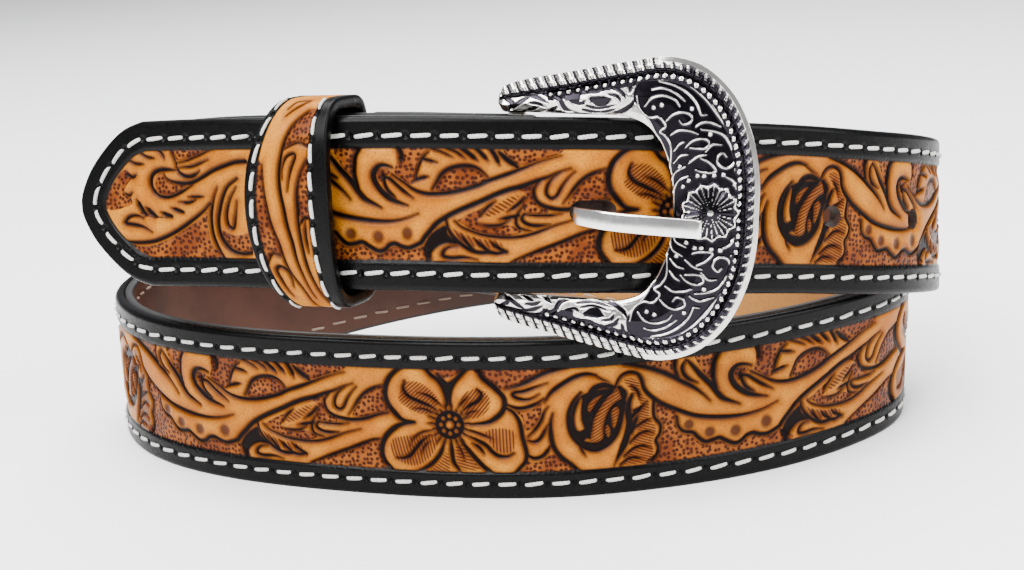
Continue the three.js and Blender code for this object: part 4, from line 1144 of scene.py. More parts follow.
def tooledLeather(name, look):
    f = Finish(name)
    place = f.attribute("place", 1)
    cut, ground, border = f.attribute("cut"), f.attribute("ground"), f.attribute("border")
    hatch, lines = f.attribute("hatch"), f.attribute("lines")
    dimple, awl = f.attribute("dimple"), f.attribute("awl")
    cloud, grain = f.noise(place, 0.12, 2.0), f.noise(place, 2.6, 4.0, 0.7)
    speck = f.noise(place, 1.9, 2.0)
    tan = f.blend(f.step(cloud, 0.35, 0.65), look["tan"], look["tanPale"])
    tan = f.blend(f.step(grain, 0.45, 0.75) * 0.5, tan, look["tanDeep"])
    tan = f.blend(f.step(speck, 0.48, 0.66) * 0.38, tan, look["tanDeep"])
    # the tan darkens towards the cuts: antique stain gathered at the cuts, and painted shade on the bevels
    # beside them
    tan = f.blend(f.step(cut, 0.2, 2.0, 0.5, 0.0), tan, look["tanDeep"])
    tan = f.blend(f.step(cut, 0.0, 0.6, 0.8, 0.0), tan, look["hatch"])
    wave = f.add("ShaderNodeMath", {"operation": "SINE"}, {0: lines * 6.2832})
    inHatch = f.step(hatch, 0.0, 0.5)
    tan = f.blend(f.step(hatch, 0.0, 1.0) * 0.6, tan, look["tanDeep"])
    tan = f.blend(f.step(wave, -0.5, 0.5) * inHatch * 0.9, tan, look["hatch"])
    tan = f.blend(f.step(dimple, 0.0, 0.6) * 0.95, tan, look["hatch"])
    cells = f.add("ShaderNodeTexVoronoi", {"voronoi_dimensions": "2D"},
                  {"Vector": place, "Scale": 1 / look["cellSize"], "Randomness": 0.75})
    pit = f.step(cells, 0.24, 0.50, 1.0, 0.0)
    matted = f.blend(f.step(cloud, 0.4, 0.6), look["matted"], look["mattedPale"])
    matted = f.blend(f.step(grain, 0.4, 0.7) * 0.5, matted, look["matted"])
    matted = f.blend(pit * f.step(speck, 0.3, 0.6, 0.7, 1.0), matted, look["mattedPit"])
    # the matting darkens next to the cuts: antique stain, and painted shade on the bevels
    matted = f.blend(f.step(cut, 0.0, 0.9, 0.8, 0.0), matted, look["mattedPit"])
    inGround = f.step(ground, -0.05, 0.2)
    colour = f.blend(inGround, tan, matted)
    inCut = f.step(cut, -0.22, 0.1, 1.0, 0.0)
    colour = f.blend(inCut, colour, look["cut"])
    inPanel = f.step(border, -0.08, 0.1)
    colour = f.blend(f.step(border, 0.0, 0.5, 0.85, 0.0), colour, look["cut"])
    scuff = f.step(f.noise(place, 1.4, 4.0, 0.8), 0.62, 0.8) * 0.25
    black = f.blend(scuff, look["border"], look["scuffed"])
    colour = f.blend(inPanel, black, colour)
    gloss = f.step(grain, 0.3, 0.8, 0.30, 0.46)
    waxed = f.step(f.noise(place, 0.9, 4.0, 0.7), 0.3, 0.75, 0.24, 0.44)
    rough = gloss * inPanel + waxed * (1 - inPanel)
    height = grain * 0.05 + f.step(cells, 0.05, 0.55, -0.14, 0.0) * inGround
    height = height + f.step(wave, -0.6, 0.8, 0.0, -0.09) * inHatch
    height = height + f.step(awl, 0.25, 0.7, -0.3, 0.0) * (1 - inPanel)
    return f.surface(Base_Color=colour, Roughness=rough, Normal=f.bump(height, 0.9),
                     Coat_Weight=(1 - inPanel) * 0.07 + inPanel * f.step(cut, 0.0, 0.8, 0.0, 0.06),
                     Coat_Roughness=0.22, Specular_IOR_Level=0.05)


liningLook = {
    "brown": (0.042, 0.011, 0.004),
    "brownPale": (0.072, 0.021, 0.008),
    # painted light: golden tan over one stretch, a lit copy of the brown lining leather
    "paintedLight": (0.40, 0.165, 0.022),
    "grain": (0.07, 0.02, 0.01),
    "edge": (0.009, 0.009, 0.009),
    "paintedLightFrom": (770, 830),          # mm from the tip: the painted light fades in, then out
    "paintedLightTo": (900, 1010),
}


def liningLeather(look):
    f = Finish("lining_brown")
    place, border, awl = f.attribute("place", 1), f.attribute("border"), f.attribute("awl")
    cloud, grain = f.noise(place, 0.05, 3.0), f.noise(place, 2.2, 5.0, 0.7)
    along = f.add("ShaderNodeSeparateXYZ", {}, {"Vector": place}, output=0)
    brown = f.blend(f.step(cloud, 0.35, 0.65), look["brown"], look["brownPale"])
    # painted light: the lining turns golden tan over one stretch of its length
    paintedLight = f.step(along, *look["paintedLightFrom"]) * f.step(along, *look["paintedLightTo"], 1.0, 0.0)
    colour = f.blend(paintedLight, brown, look["paintedLight"])
    colour = f.blend(f.step(grain, 0.45, 0.75) * 0.4, colour, look["grain"])
    colour = f.blend(f.step(border, 0.5, 1.1, 1.0, 0.0), colour, look["edge"])
    height = grain * 0.06 + f.step(awl, 0.2, 0.6, -0.2, 0.0)
    return f.surface(Base_Color=colour, Roughness=f.step(grain, 0.3, 0.8, 0.45, 0.65),
                     Normal=f.bump(height, 0.7))


def threadFinish(name, colour):
    f = Finish(name)
    place = f.add("ShaderNodeTexCoord", {}, output=3)
    fibre = f.noise(place, 2600.0, 3.0, 0.7)
    tone = f.blend(f.step(fibre, 0.35, 0.7), colour, tuple(c * 0.62 for c in colour))
    return f.surface(Base_Color=tone, Roughness=0.6, Normal=f.bump(fibre * 0.05, 0.6))


# the holes' walls and the cap, painted near black-brown: painted shade inside the holes
def holeShadeFinish():
    f = Finish("hole_painted_shade")
    place = f.add("ShaderNodeTexCoord", {}, output=3)
    tone = f.blend(f.step(f.noise(place, 900.0), 0.4, 0.7), (0.012, 0.006, 0.004), (0.05, 0.018, 0.008))
    return f.surface(Base_Color=tone, Roughness=0.7)


def floorFinish():
    f = Finish("pale_surface")
    place = f.add("ShaderNodeTexCoord", {}, output=3)
    tone = f.blend(f.noise(place, 9.0), (0.88, 0.88, 0.88), (0.90, 0.90, 0.90))
    return f.surface(Base_Color=tone, Roughness=0.6)


def steelFinish():
    f = Finish("polished_steel")
    place = f.add("ShaderNodeTexCoord", {}, output=3)
    fine = f.noise(place, 700.0, 4.0, 0.7)
    return f.surface(Base_Color=(0.86, 0.85, 0.82), Metallic=1.0,
                     Roughness=f.step(fine, 0.3, 0.8, 0.12, 0.24), Normal=f.bump(fine * 0.01, 0.4))


# The keeper, a leather loop bowed round both layers
keeper = {
    "length": 20.6,
    "fromTip": 57,
    "slide": 2.6,             # nearer to the buckle than its solid
    "halfUp": 23.2,
    "low": -16.0,             # its back and its front, out from the grain face
    "high": 6.6,
    "wall": 2.7,
    "squareness": 3.0,
    "backSquareness": 5.5,
    "edgeRound": 0.7,
    "twist": 3.0,
    "bow": 7.0,               # how far its left edge bends at top and bottom
    "panel": 6.5,             # half the tooled panel's width
    "middle": -0.9,
    "stitchGap": 0.85,
    "pitch": 6.0,
    "stitchesUp": 4,
}
keeperCuts = [
    (0.8, 0.2, 0.2, [(4.1, 21.9), (1.0, 18.8), (-0.4, 15.4), (-0.7, 11.5), (-0.8, 7.7), (-0.4, 3.8),
                     (0.3, 0), (0.8, -3.8), (1.5, -7.7), (1.7, -11.5), (2.3, -15.4), (3, -20.8)]),
    (0.6, 0.3, 0.3, [(-5.3, 9.6), (-4.7, 5.8), (-3.8, 0), (-3.1, -3.8), (-2, -7.7), (-1.7, -10.8),
                     (-1.1, -14.2), (0.7, -19.2), (0.4, -26)]),
    (0.7, 0.3, 0.5, [(6.1, 10.8), (4.5, 7.7), (3.6, 3.8), (3.6, 0), (3.6, -3.8), (3.8, -7.7), (4.2, -13.5),
                     (5.4, -19.2), (6.3, -23)]),
    (0.6, 0.2, 0.2, [(0.2, 6.5), (0, 8.8), (0.7, 11.2), (2.4, 12), (3.1, 11.2), (2.3, 8.8), (1.8, 6.2),
                     (1.5, 3.8)]),
    (0.7, 0.2, 0.2, [(-4.1, -20.4), (-4.5, -18.5), (-4.7, -16.2), (-4.8, -13.7), (-3.5, -12.9),
                     (-1.9, -13.8), (-1.5, -15.8), (-2, -17.7)]),
    (0.7, 0.5, 0.2, [(5.8, -1.9), (4.8, -2.2), (4, -3.5)]),
    (0.6, 0.3, 0.2, [(5.4, -2.7), (5.1, -5.8), (5.4, -9.6)]),
    (0.55, 0.2, 0.2, [(-3.1, 22.1), (-2.6, 23.5), (-1.7, 25), (2, 25.4), (1, 23.8), (-0.3, 22.7),
                      (-2.5, 20.4)]),
    (0.5, 0.5, 0.5, [(-6.2, -11.9), (-4.4, -10), (-2.3, -10.8)]),
    (0.5, 0.3, 0.3, [(-0.4, 12.7), (1.5, 13.8), (3.6, 14.4), (5.9, 13.6)]),
]
keeperMatted = [
    [(4.1, 21.9), (1.0, 18.8), (-0.4, 15.4), (-0.3, 12.9), (1.5, 14), (3.6, 14.6), (6.8, 13.4),
     (6.8, 21.5)],
    [(-5.3, 9.6), (-4.7, 5.8), (-3.8, 0), (-3.1, -3.8), (-2, -7.7), (-2, -10.6), (-4.4, -9.8), (-7, -11.8),
     (-7, 9)],
    [(6.1, 10.8), (4.5, 7.7), (3.6, 3.8), (3.6, 0), (4, -1.6), (7, -1.4), (7, 10)],
]


def keeperLoop(count=420):
    # the loop's outline in up and out, the direction outward, and the way from the middle of the front
    centre, reach = (keeper["high"] + keeper["low"]) / 2, (keeper["high"] - keeper["low"]) / 2
    turn = np.linspace(0, 2 * math.pi, 1441)
    power = 2 / np.where(np.cos(turn) < 0, keeper["backSquareness"], keeper["squareness"])
    up = keeper["halfUp"] * np.sign(np.sin(turn)) * np.abs(np.sin(turn)) ** power
    out = centre + reach * np.sign(np.cos(turn)) * np.abs(np.cos(turn)) ** power
    run = np.concatenate([[0], np.cumsum(np.hypot(np.diff(up), np.diff(out)))])
    even = np.linspace(0, run[-1], count + 1)[:-1]
    up, out = np.interp(even, run, up), np.interp(even, run, out)
    slope = unit(np.stack([np.roll(up, -1) - np.roll(up, 1), np.roll(out, -1) - np.roll(out, 1)], -1))
    outward = np.stack([slope[:, 1], -slope[:, 0]], -1)
    if (outward[:, 0] * up + outward[:, 1] * (out - out.mean())).mean() < 0:
        outward = -outward
    return up, out, outward, np.where(even > run[-1] / 2, even - run[-1], even)


def onKeeper(up, out, along):
    spot = np.array([keeper["fromTip"] + keeper["slide"]])
    origin, forward, upward, outward = (v[0] for v in freeEnd.at(spot))
    pivot = (keeper["high"] + keeper["low"]) / 2
    cosine, sine = math.cos(math.radians(keeper["twist"])), math.sin(math.radians(keeper["twist"]))
    along = along + keeper["bow"] * (up / keeper["halfUp"]) ** 2 * (0.5 - along / keeper["length"])
    out, along = (out - pivot) * cosine + along * sine, along * cosine - (out - pivot) * sine
    return (origin + upward * (half + up)[..., None] + outward * (out + pivot)[..., None]
            + forward * along[..., None] + shift)


def keeperSection():
    # along the keeper and in from its face: a round edge, the face, the other edge and the back
    end, wall, bend, trim = keeper["length"] / 2, keeper["wall"], keeper["edgeRound"], 0.3
    turn = np.linspace(math.pi / 2, 0, 5)
    edge = [(-end + bend - bend * math.sin(a), bend - bend * math.cos(a)) for a in turn]
    face = np.linspace(-end + bend + 0.1, end - bend - 0.1, 66)
    rows = edge + [(a, 0.0) for a in face] + [(-a, d) for a, d in edge[::-1]]
    rows += [(end, wall - trim), (end - trim, wall), (-end + trim, wall), (-end, wall - trim)]
    along, depth = np.array(rows).T
    front = np.zeros(len(along), bool)
    front[len(edge):len(edge) + len(face)] = True
    return along, depth, front


def makeKeeper(finish):
    up, out, outward, run = keeperLoop()
    along, depth, front = keeperSection()
    runGrid, alongGrid = np.meshgrid(run, along, indexing="ij")
    spots = np.stack([alongGrid - keeper["middle"], runGrid], -1).reshape(-1, 2)
    fields = evaluateChart(spots, keeperCuts, keeperMatted)
    fields = {key: values.reshape(runGrid.shape) for key, values in fields.items()}
    across = np.abs(alongGrid - keeper["middle"])
    border = np.where(front, keeper["panel"] - across, -5.0)
    fromStitch = np.abs((runGrid / keeper["pitch"]) % 1 - 0.5) * keeper["pitch"]
    awl = np.where(front, np.hypot(fromStitch, np.abs(across - keeper["panel"] - keeper["stitchGap"])), 2.0)
    lift = reliefHeight(fields, border) - awlDepth * (1 - smoothStep(0.2, 0.85, awl))
    inward = depth - np.where(front, lift, 0)
    points = onKeeper(up[:, None] - outward[:, :1] * inward, out[:, None] - outward[:, 1:] * inward,
                      alongGrid)
    faces = turnedOut(points.reshape(-1, 3), ringFaces(*points.shape[:2]))
    attributes = {key: values.ravel() for key, values in fields.items()}
    attributes.update({"border": border.ravel(), "awl": awl.ravel(),
                       "place": np.stack([alongGrid + 300, runGrid, 0 * runGrid], -1).reshape(-1, 3)})
    loop = makeMesh("keeper_loop", points.reshape(-1, 3), faces, attributes, finish)
    dress(loop, "keeper_leather", "keeper")


def makeKeeperStitches(finish):
    up, out, outward, run = keeperLoop()
    order = np.argsort(run)
    share, wide, high, faces = threadShape(12, 8, stitch["radius"])
    high = high + 0.2
    threads = []
    for side in (-1, 1):
        row = keeper["middle"] + side * (keeper["panel"] + keeper["stitchGap"] - 0.15 * share[:, None]) + wide
        for k in range(-keeper["stitchesUp"], keeper["stitchesUp"] + 1):
            spot = k * keeper["pitch"] + share * stitch["length"] / 2
            u, o, du, do = (np.interp(spot, run[order], values[order])[:, None]
                            for values in (up, out, outward[:, 0], outward[:, 1]))
            threads.append(onKeeper(u + du * high, o + do * high, row).reshape(-1, 3))
    points, faces = joined(threads, faces, mirrored=True)
    dress(makeMesh("keeper_stitches", points, faces, finish=finish), "keeper_leather")


# The buckle: an engraved horseshoe, its bar and its tongue
buckle = {
    "frameLength": 56.7,
    "frameHeight": 65.2,
    "slack": 0.85,            # between the strap's edges and the frame
    "swing": 2.5,             # degrees that the frame leans out from the strap
    "flange": 1.2,
    "rope": 2.0,
    "ropePitch": 2.15,
    "beadPitch": 2.0,
    "tongueWidth": 4.1,
    "tongueThick": 2.4,
    "tongueReach": 40.6,
    "tongueDrop": 2.2,
}
billetLevel = 2 * thickness + coil["lieGap"]
# outer edge along and up, inner edge along and up, front and back level
frameRows = [
    (-0.069, 0.716, -0.069, 1.075, 0.34, -0.12), (-0.048, 0.776, -0.050, 1.003, 0.42, -0.20),
    (0.035, 0.825, 0.035, 1.0, 0.51, -0.20), (0.159, 0.868, 0.159, 1.0, 0.68, 0.06),
    (0.300, 0.919, 0.300, 1.0, 0.83, 0.34), (0.441, 0.966, 0.420, 0.995, 0.95, 0.66),
    (0.582, 1.0, 0.497, 0.915, 1.02, 0.76), (0.711, 0.938, 0.550, 0.755, 1.05, 0.72),
    (0.822, 0.767, 0.582, 0.550, 1.05, 0.69), (0.896, 0.506, 0.600, 0.345, 1.04, 0.67),
    (0.928, 0.233, 0.608, 0.150, 1.03, 0.66),
]
# the far side's black field and the thin silver lines raised on it: along and up from the bar's middle; its
# black is partly the engraving's dark ground and partly a painted reflection of the dark surroundings
blackField = [(24.8, 24.4), (26, 28), (31, 28.4), (35, 27.7), (38.6, 25), (42, 20.6), (44.6, 16.5),
              (46.8, 11.6), (47.8, 6), (48.2, -2), (33.1, -2), (32.8, 3), (32, 8), (30.8, 13.4),
              (29.6, 17), (28.2, 19.6), (26.4, 21.8)]
silverLines = [
    (0.42, [(25.6, 24.7), (26, 22.5), (27, 21), (28.5, 20.2), (30, 20.4), (31, 19.5), (31.5, 18.3),
            (30.4, 17.3), (31.5, 16.4), (32.5, 14.8), (32.8, 13), (32.7, 10.5), (32.3, 8), (32.1, 5.5)]),
    (1.2, [(32.2, 6), (32.6, 3), (33.2, -1)]),
    (0.5, [(38.6, 18), (41, 17.7), (43, 16.8), (44.4, 14.8), (45.2, 12.5), (45.3, 11), (44.5, 10),
           (43.3, 9.8), (42.2, 10.6), (42, 12), (43, 13), (43.8, 12.2)]),
    (0.4, [(38.7, 11.8), (40.5, 10.8), (41.8, 9.2), (41, 8.7), (39, 8.8), (37.8, 9.2)]),
    (0.4, [(35.6, 14), (37, 15.4), (39, 16), (40.2, 15.3), (39.5, 13.9), (36.5, 13.9)]),
    (0.38, [(33, 6.5), (33.8, 8.5), (35.8, 9.8)]),
    (0.38, [(33.4, 10.5), (34.6, 12), (36.2, 12.5)]),
    (0.38, [(33.4, 4), (34.4, 6.6), (36.4, 7.8)]),
    (0.38, [(33.4, 13.2), (34.4, 14.6), (35.4, 15.2)]),
    (0.38, [(32.6, 16.6), (34.2, 17.6), (36.4, 17.6), (38, 17)]),
    (0.45, [(37.5, 18.5), (38.5, 19.3), (40, 19.6), (42.4, 18.7)]),
    (0.5, [(30, 28.1), (33, 27.3), (35.5, 25.8), (37.3, 23.8), (38.1, 22), (38.5, 21.1), (39.6, 21.2)]),
    (0.4, [(31.6, 19.6), (33, 21), (35, 21.6), (36.6, 20.8), (36.4, 19.4), (35, 19), (34.2, 19.8)]),
    (0.4, [(27.2, 22.6), (28.6, 24.4), (31, 25), (33.2, 24.2), (34.2, 22.8)]),
    (0.4, [(28.6, 26.2), (30.6, 26.6), (33, 25.8), (35.2, 24)]),
    (0.38, [(39.6, 13.2), (41, 14.8), (42.8, 14.8)]),
    (0.38, [(36.4, 10.6), (38, 12), (39.8, 12.6)]),
    (0.38, [(43.6, 8), (45.2, 7), (46, 5.2)]),
]
silverDots = [(45.8, 9.5), (43.3, 8.3), (41.5, 8.1), (39.5, 7.9), (38.2, 7.9), (36.5, 6.8), (46.4, 2.8),
              (46.4, 1.1), (46.6, -1), (45.6, 6.3), (35.4, 5.4), (29, 22.4), (30.6, 23), (36.6, 22.4),
              (40.4, 17), (34.6, 9.8)]
# black cuts in the two arms' silver
armCuts = [
    (0.6, [(-2.2, 23.2), (-0.8, 22.2), (-1.5, 20.6)]),
    (0.5, [(2.6, 23.7), (0.2, 22), (-0.8, 20.8)]),
    (0.5, [(2, 24.1), (4, 24), (7, 22.6)]),
    (0.45, [(3.2, 22.5), (5, 22.4), (6.5, 21.7)]),
    (0.45, [(2, 20.6), (5, 21.7)]),
    (0.5, [(6, 20.3), (7.6, 20.8), (9, 21.9)]),
    (0.6, [(8, 24.4), (9.6, 23.4), (10.6, 21.6), (12.4, 21)]),
    (1.9, [(11.4, 24.2), (12.6, 24.4), (13.6, 24.8)]),
    (1.3, [(16.4, 23.8), (18.2, 23.4), (20.2, 24)]),
    (0.4, [(15.2, 22.4), (18, 21.9), (21.4, 22.8)]),
    (0.4, [(14.4, 21.5), (18, 21), (22, 22)]),
    (0.5, [(14.6, 25.8), (16.6, 25.4), (18.8, 26)]),
    (0.45, [(9.6, 25.4), (11.4, 25.9), (14, 26.4)]),
    (0.5, [(20.6, 26.4), (22.4, 25.6), (23.4, 24)]),
    (0.45, [(12.8, 22.8), (14.2, 22.8), (15, 23.6)]),
    (0.45, [(19.8, 25), (21.6, 24.6), (22.4, 23.2)]),
    (0.5, [(24, 25.6), (24.4, 27.2)]),
    (0.5, [(25.6, 25.8), (26, 27.4)]),
    (0.5, [(27.2, 26.2), (27.4, 27.6)]),
    (0.45, [(4.6, 24.9), (6.4, 24.6), (8, 23.2)]),
    (0.4, [(-3.6, 21.4), (-3, 20)]),
    (0.6, [(19, 20.3), (22, 21.2), (24.4, 22.8), (25.2, 24.8)]),
]


def chordalCurve(points, shares):
    # the same evenly eased curve that the frame's edges were drawn with
    points = np.asarray(points, float)
    padded = np.concatenate([[2 * points[0] - points[1]], points, [2 * points[-1] - points[-2]]])
    place = np.clip(np.asarray(shares) * (len(points) - 1), 0, len(points) - 1 - 1e-9)
    i = place.astype(int)
    w = (place - i)[:, None]
    p0, p1, p2, p3 = (padded[i + k] for k in range(4))
    pairs = ((p0, p1), (p1, p2), (p2, p3))
    d0, d1, d2 = (np.linalg.norm(b - a, axis=1, keepdims=True) ** 0.5 for a, b in pairs)
    start = ((p1 - p0) / d0 - (p2 - p0) / (d0 + d1) + (p2 - p1) / d1) * d1
    end = ((p2 - p1) / d1 - (p3 - p1) / (d1 + d2) + (p3 - p2) / d2) * d1
    return (p1 + start * w + (-3 * p1 + 3 * p2 - 2 * start - end) * w ** 2
            + (2 * p1 - 2 * p2 + start + end) * w ** 3)


def inBuckle(along, up, level):
    origin, forward, upward, outward = (v[0] for v in route.at(np.array([route.length])))
    turn = math.radians(buckle["swing"])
    swungAlong = forward * math.cos(turn) + outward * math.sin(turn)
    swungOut = outward * math.cos(turn) - forward * math.sin(turn)
    middle = origin + upward * half - outward * thickness + shift
    along, up, level = (np.asarray(v, float)[..., None] for v in (along, up, level))
    return middle + swungAlong * along + upward * up + swungOut * level


def buckleEdges():
    outer, inner = [], []
    for oa, ou, ia, iu, front, back in frameRows:
        outer.append((oa * buckle["frameLength"], ou * buckle["frameHeight"] / 2, front * billetLevel))
        inner.append((ia * buckle["frameLength"], iu * (half + buckle["slack"]), back * billetLevel))
    return [rows + [(buckle["frameLength"] * share, 0, rows[-1][2])] + [(x, -y, z) for x, y, z in rows[::-1]]
            for rows, share in ((outer, 0.931), (inner, 0.61))]


rosette = {"centre": 42.4, "radius": 6.4, "petals": 26, "rim": 0.94}


def buckleBand(count=660):
    # the outer and inner edge in even steps round the horseshoe
    outerRows, innerRows = buckleEdges()
    fine = np.linspace(0, 1, 3001)
    middle = (chordalCurve(outerRows, fine) + chordalCurve(innerRows, fine))[:, :2] / 2
    run = np.concatenate([[0], np.cumsum(np.hypot(*np.diff(middle, axis=0).T))])
    shares = np.interp(np.linspace(0, run[-1], count), run, fine)
    return chordalCurve(outerRows, shares), chordalCurve(innerRows, shares)


def buckleFace(step, width, field, rope, front, back):
    # the plain face: a crowned field, a channel for the rope and a flange outside it
    level = np.empty_like(step)
    crown = np.minimum(1.3, (front - back) * 0.32)
    for i, (w, f, r, c, top) in enumerate(zip(width, field, rope, crown, front)):
        knots = [0, f * 0.05, f * 0.14, f * 0.5, f * 0.86, f, f + r * 0.2, f + r * 0.8, f + r, w]
        heights = [-c, -c * 0.6, -c * 0.35, 0, -c * 0.35, -c, -c * 0.7, -c * 0.8, -c * 1.3, -c * 1.5]
        level[i] = top + np.interp(step[i], knots, heights)
    return level


def engraving(plane, step, fieldEnd):
    # the scrolls: how far they raise or cut the face, and the tarnish with the painted dark reflection, black
    # above zero
    x, y = plane[..., 0], np.abs(plane[..., 1])
    spots = np.stack([x * (1 - 0.04 * np.clip(x / 50, 0, 1)), y * 1.025], -1).reshape(-1, 2)
    black = areaField(spots, [blackField]).reshape(x.shape)
    lines = strokeField(spots, [(w * 0.58, 0.6, 0.5, path) for w, path in silverLines], 2.0).reshape(x.shape)
    dots = np.min([np.hypot(*(spots - dot).T) - 0.36 for dot in silverDots], axis=0).reshape(x.shape)
    cut = strokeField(spots, [(w * 1.8, 0.6, 0.2, path) for w, path in armCuts], 2.0).reshape(x.shape)
    raised = np.minimum(lines, dots)
    inField = smoothStep(0, 0.3, fieldEnd - 0.1 - step)
    sunk = -0.4 * smoothStep(-0.1, 0.3, black) * smoothStep(-0.12, 0.12, raised) * inField
    cutDepth = -0.35 * smoothStep(0.1, -0.1, cut) * inField * (black < 0)
    tarnishAndReflection = np.maximum(np.minimum(black, raised), np.where(black < 0, -cut, -2))
    return sunk, cutDepth, tarnishAndReflection


def rosetteField(plane):
    # a fluted dish with a scalloped rim: where it is, its height and its tarnish
    x = plane[..., 0] - rosette["centre"]
    turn = np.arctan2(plane[..., 1], x)
    scallop = 0.95 + 0.05 * np.cos(turn * rosette["petals"] / 2)
    ring = np.hypot(plane[..., 1], x) / (rosette["radius"] * scallop)
    flute = np.cos(turn * rosette["petals"])
    dish = 0.5 - 0.55 * np.clip(ring, 0, 1) ** 2 + 0.14 * flute * np.clip(ring, 0.1, 1)
    dish = dish + 0.25 * np.exp(-((ring - rosette["rim"]) / 0.05) ** 2) + 0.35 * np.exp(-(ring / 0.2) ** 2)
    rays = (flute > 0.9) & (ring > 0.22 + 0.2 * np.cos(turn * 4) ** 2)
    silver = rays | (np.abs(ring - rosette["rim"]) < 0.028) | (ring < 0.1)
    return ring, dish, np.where(silver, -0.4, 0.4)


def makeHorseshoe(finish):
    outer, inner = buckleBand()
    front, back = outer[:, 2], inner[:, 2]
    width = np.linalg.norm((outer - inner)[:, :2], axis=1)
    columns = np.concatenate([np.linspace(0, 0.8, 76), np.linspace(0.8, 1, 34)[1:]])
    flange, rope = np.minimum(buckle["flange"], width * 0.16), np.minimum(buckle["rope"], width * 0.3)
    field = width - flange - rope
    step = columns * width[:, None]
    plane = inner[:, None, :2] + columns[None, :, None] * (outer - inner)[:, None, :2]
    x, fieldEnd = plane[..., 0], field[:, None]
    ropeEnd = np.where(x < 30, width[:, None] + 0.2, (field + rope)[:, None])
    edgeSteps = np.linalg.norm(np.diff(outer[:, :2], axis=0), axis=1)
    outerRun = np.concatenate([[0], np.cumsum(edgeSteps)])[:, None]
    sunk, cutDepth, tarnishAndReflection = engraving(plane, step, fieldEnd)
    ring, dish, dishTarnish = rosetteField(plane)
    inRing = ring < 1
    level = buckleFace(step, width, field, rope, front, back) + sunk * ~inRing + cutDepth
    level = np.where(inRing, level + dish, level)
    # the rope round the outside and the beads inside it
    strand = np.abs(np.sin(math.pi * (outerRun / buckle["ropePitch"] + (step - fieldEnd) * 0.22)))
    inRope = smoothStep(0, 0.15, step - fieldEnd) * smoothStep(0, 0.15, ropeEnd - step)
    level = level + inRope * (0.75 * strand ** 0.6 - 0.1)
    beadStep = (outerRun % buckle["beadPitch"]) - buckle["beadPitch"] / 2
    fromBeads = step - (fieldEnd - 0.95)
    bead = np.hypot(beadStep * 0.9, fromBeads)
    inBead = (x > 7) & (width[:, None] > 6) & ~inRing
    level = level + np.where(inBead, 0.55 * np.sqrt(np.clip(1 - (bead / 0.72) ** 2, 0, 1)), 0)
    # tarnish and painted dark reflection: above zero is black, below is silver
    tarnishAndReflection = np.where(inRing, dishTarnish, tarnishAndReflection)
    tarnishAndReflection = np.where(np.abs(ring - 1.04) < 0.05, 0.4, tarnishAndReflection)
    nearBead = inBead & (np.abs(fromBeads) < np.where(x < 26, 1.3, 0.95))
    tarnishAndReflection = np.where(nearBead, np.where(bead < np.where(x > 26, 0.5, 0.36), -0.4, 0.4), tarnishAndReflection)
    # on the far side the rope is dark almost all over: painted dark reflection there, tarnish in its crevices
    # elsewhere
    darkRope = (strand < np.where(x > 36, 0.93, 0.45)) | (step < fieldEnd + 0.4 * rope[:, None])
    onRope = (step > fieldEnd - 0.15) & (step < ropeEnd + 0.1)
    tarnishAndReflection = np.where(onRope, np.where(darkRope, 0.4, -0.4), tarnishAndReflection)
    tarnishAndReflection = np.where((step > ropeEnd + 0.1) | (step < 0.35), -0.5, tarnishAndReflection)
    # down the outside, under the frame and up the inside: column and share of the depth
    walls = [(1.0, 0.12), (1.0, 0.5), (0.985, 0.92), (0.93, 1.0), (0.5, 1.0), (0.07, 1.0), (0.01, 0.9),
             (0.0, 0.5), (0.0, 0.12)]
    wallColumns, wallDepth = np.array(walls).T
    wallPlane = inner[:, None, :2] + wallColumns[None, :, None] * (outer - inner)[:, None, :2]
    topOfWall = np.where(wallColumns > 0.5, level[:, -1:], level[:, :1])
    wallLevel = topOfWall + (back[:, None] - topOfWall) * wallDepth
    plane, level = np.concatenate([plane, wallPlane], 1), np.concatenate([level, wallLevel], 1)
    tarnishAndReflection = np.concatenate([tarnishAndReflection, np.full_like(wallLevel, -0.5)], 1)
    points = inBuckle(plane[..., 0], plane[..., 1], level).reshape(-1, 3)
    faces = turnedOut(points, tubeFaces(*level.shape))
    horseshoe = makeMesh("buckle_horseshoe", points, faces, {"tarnishAndReflection": tarnishAndReflection.ravel()}, finish)
    dress(horseshoe, "cast_silver", "buckle_frame")


def plainMetal(name, points, shape, finish, *roles):
    # a bare piece in the finish of the frame, with no tarnish and no painted reflection
    attributes = {"tarnishAndReflection": np.full(len(points), -0.5)}
    dress(makeMesh(name, points, turnedOut(points, tubeFaces(*shape)), attributes, finish), *roles)


def makeBar(finish, rows=12, sides=24):
    # round, from arm to arm
    turn = np.arange(sides) * 2 * math.pi / sides
    reach = half + buckle["slack"] + 2.3
    height, turn = np.meshgrid(np.linspace(-reach, reach, rows), turn, indexing="ij")
    radius = strap["barRadius"]
    points = inBuckle(radius * np.cos(turn), height, radius * np.sin(turn)).reshape(-1, 3)
    plainMetal("buckle_bar", points, (rows, sides), finish, "cast_silver")


# the tongue from the bar to its end: along as a share of its reach, level as a share of the front's level
tongueRows = [(0.13, 0.325), (0.28, 0.50), (0.41, 0.86), (0.53, 1.10), (0.72, 1.21), (1, 1.19)]


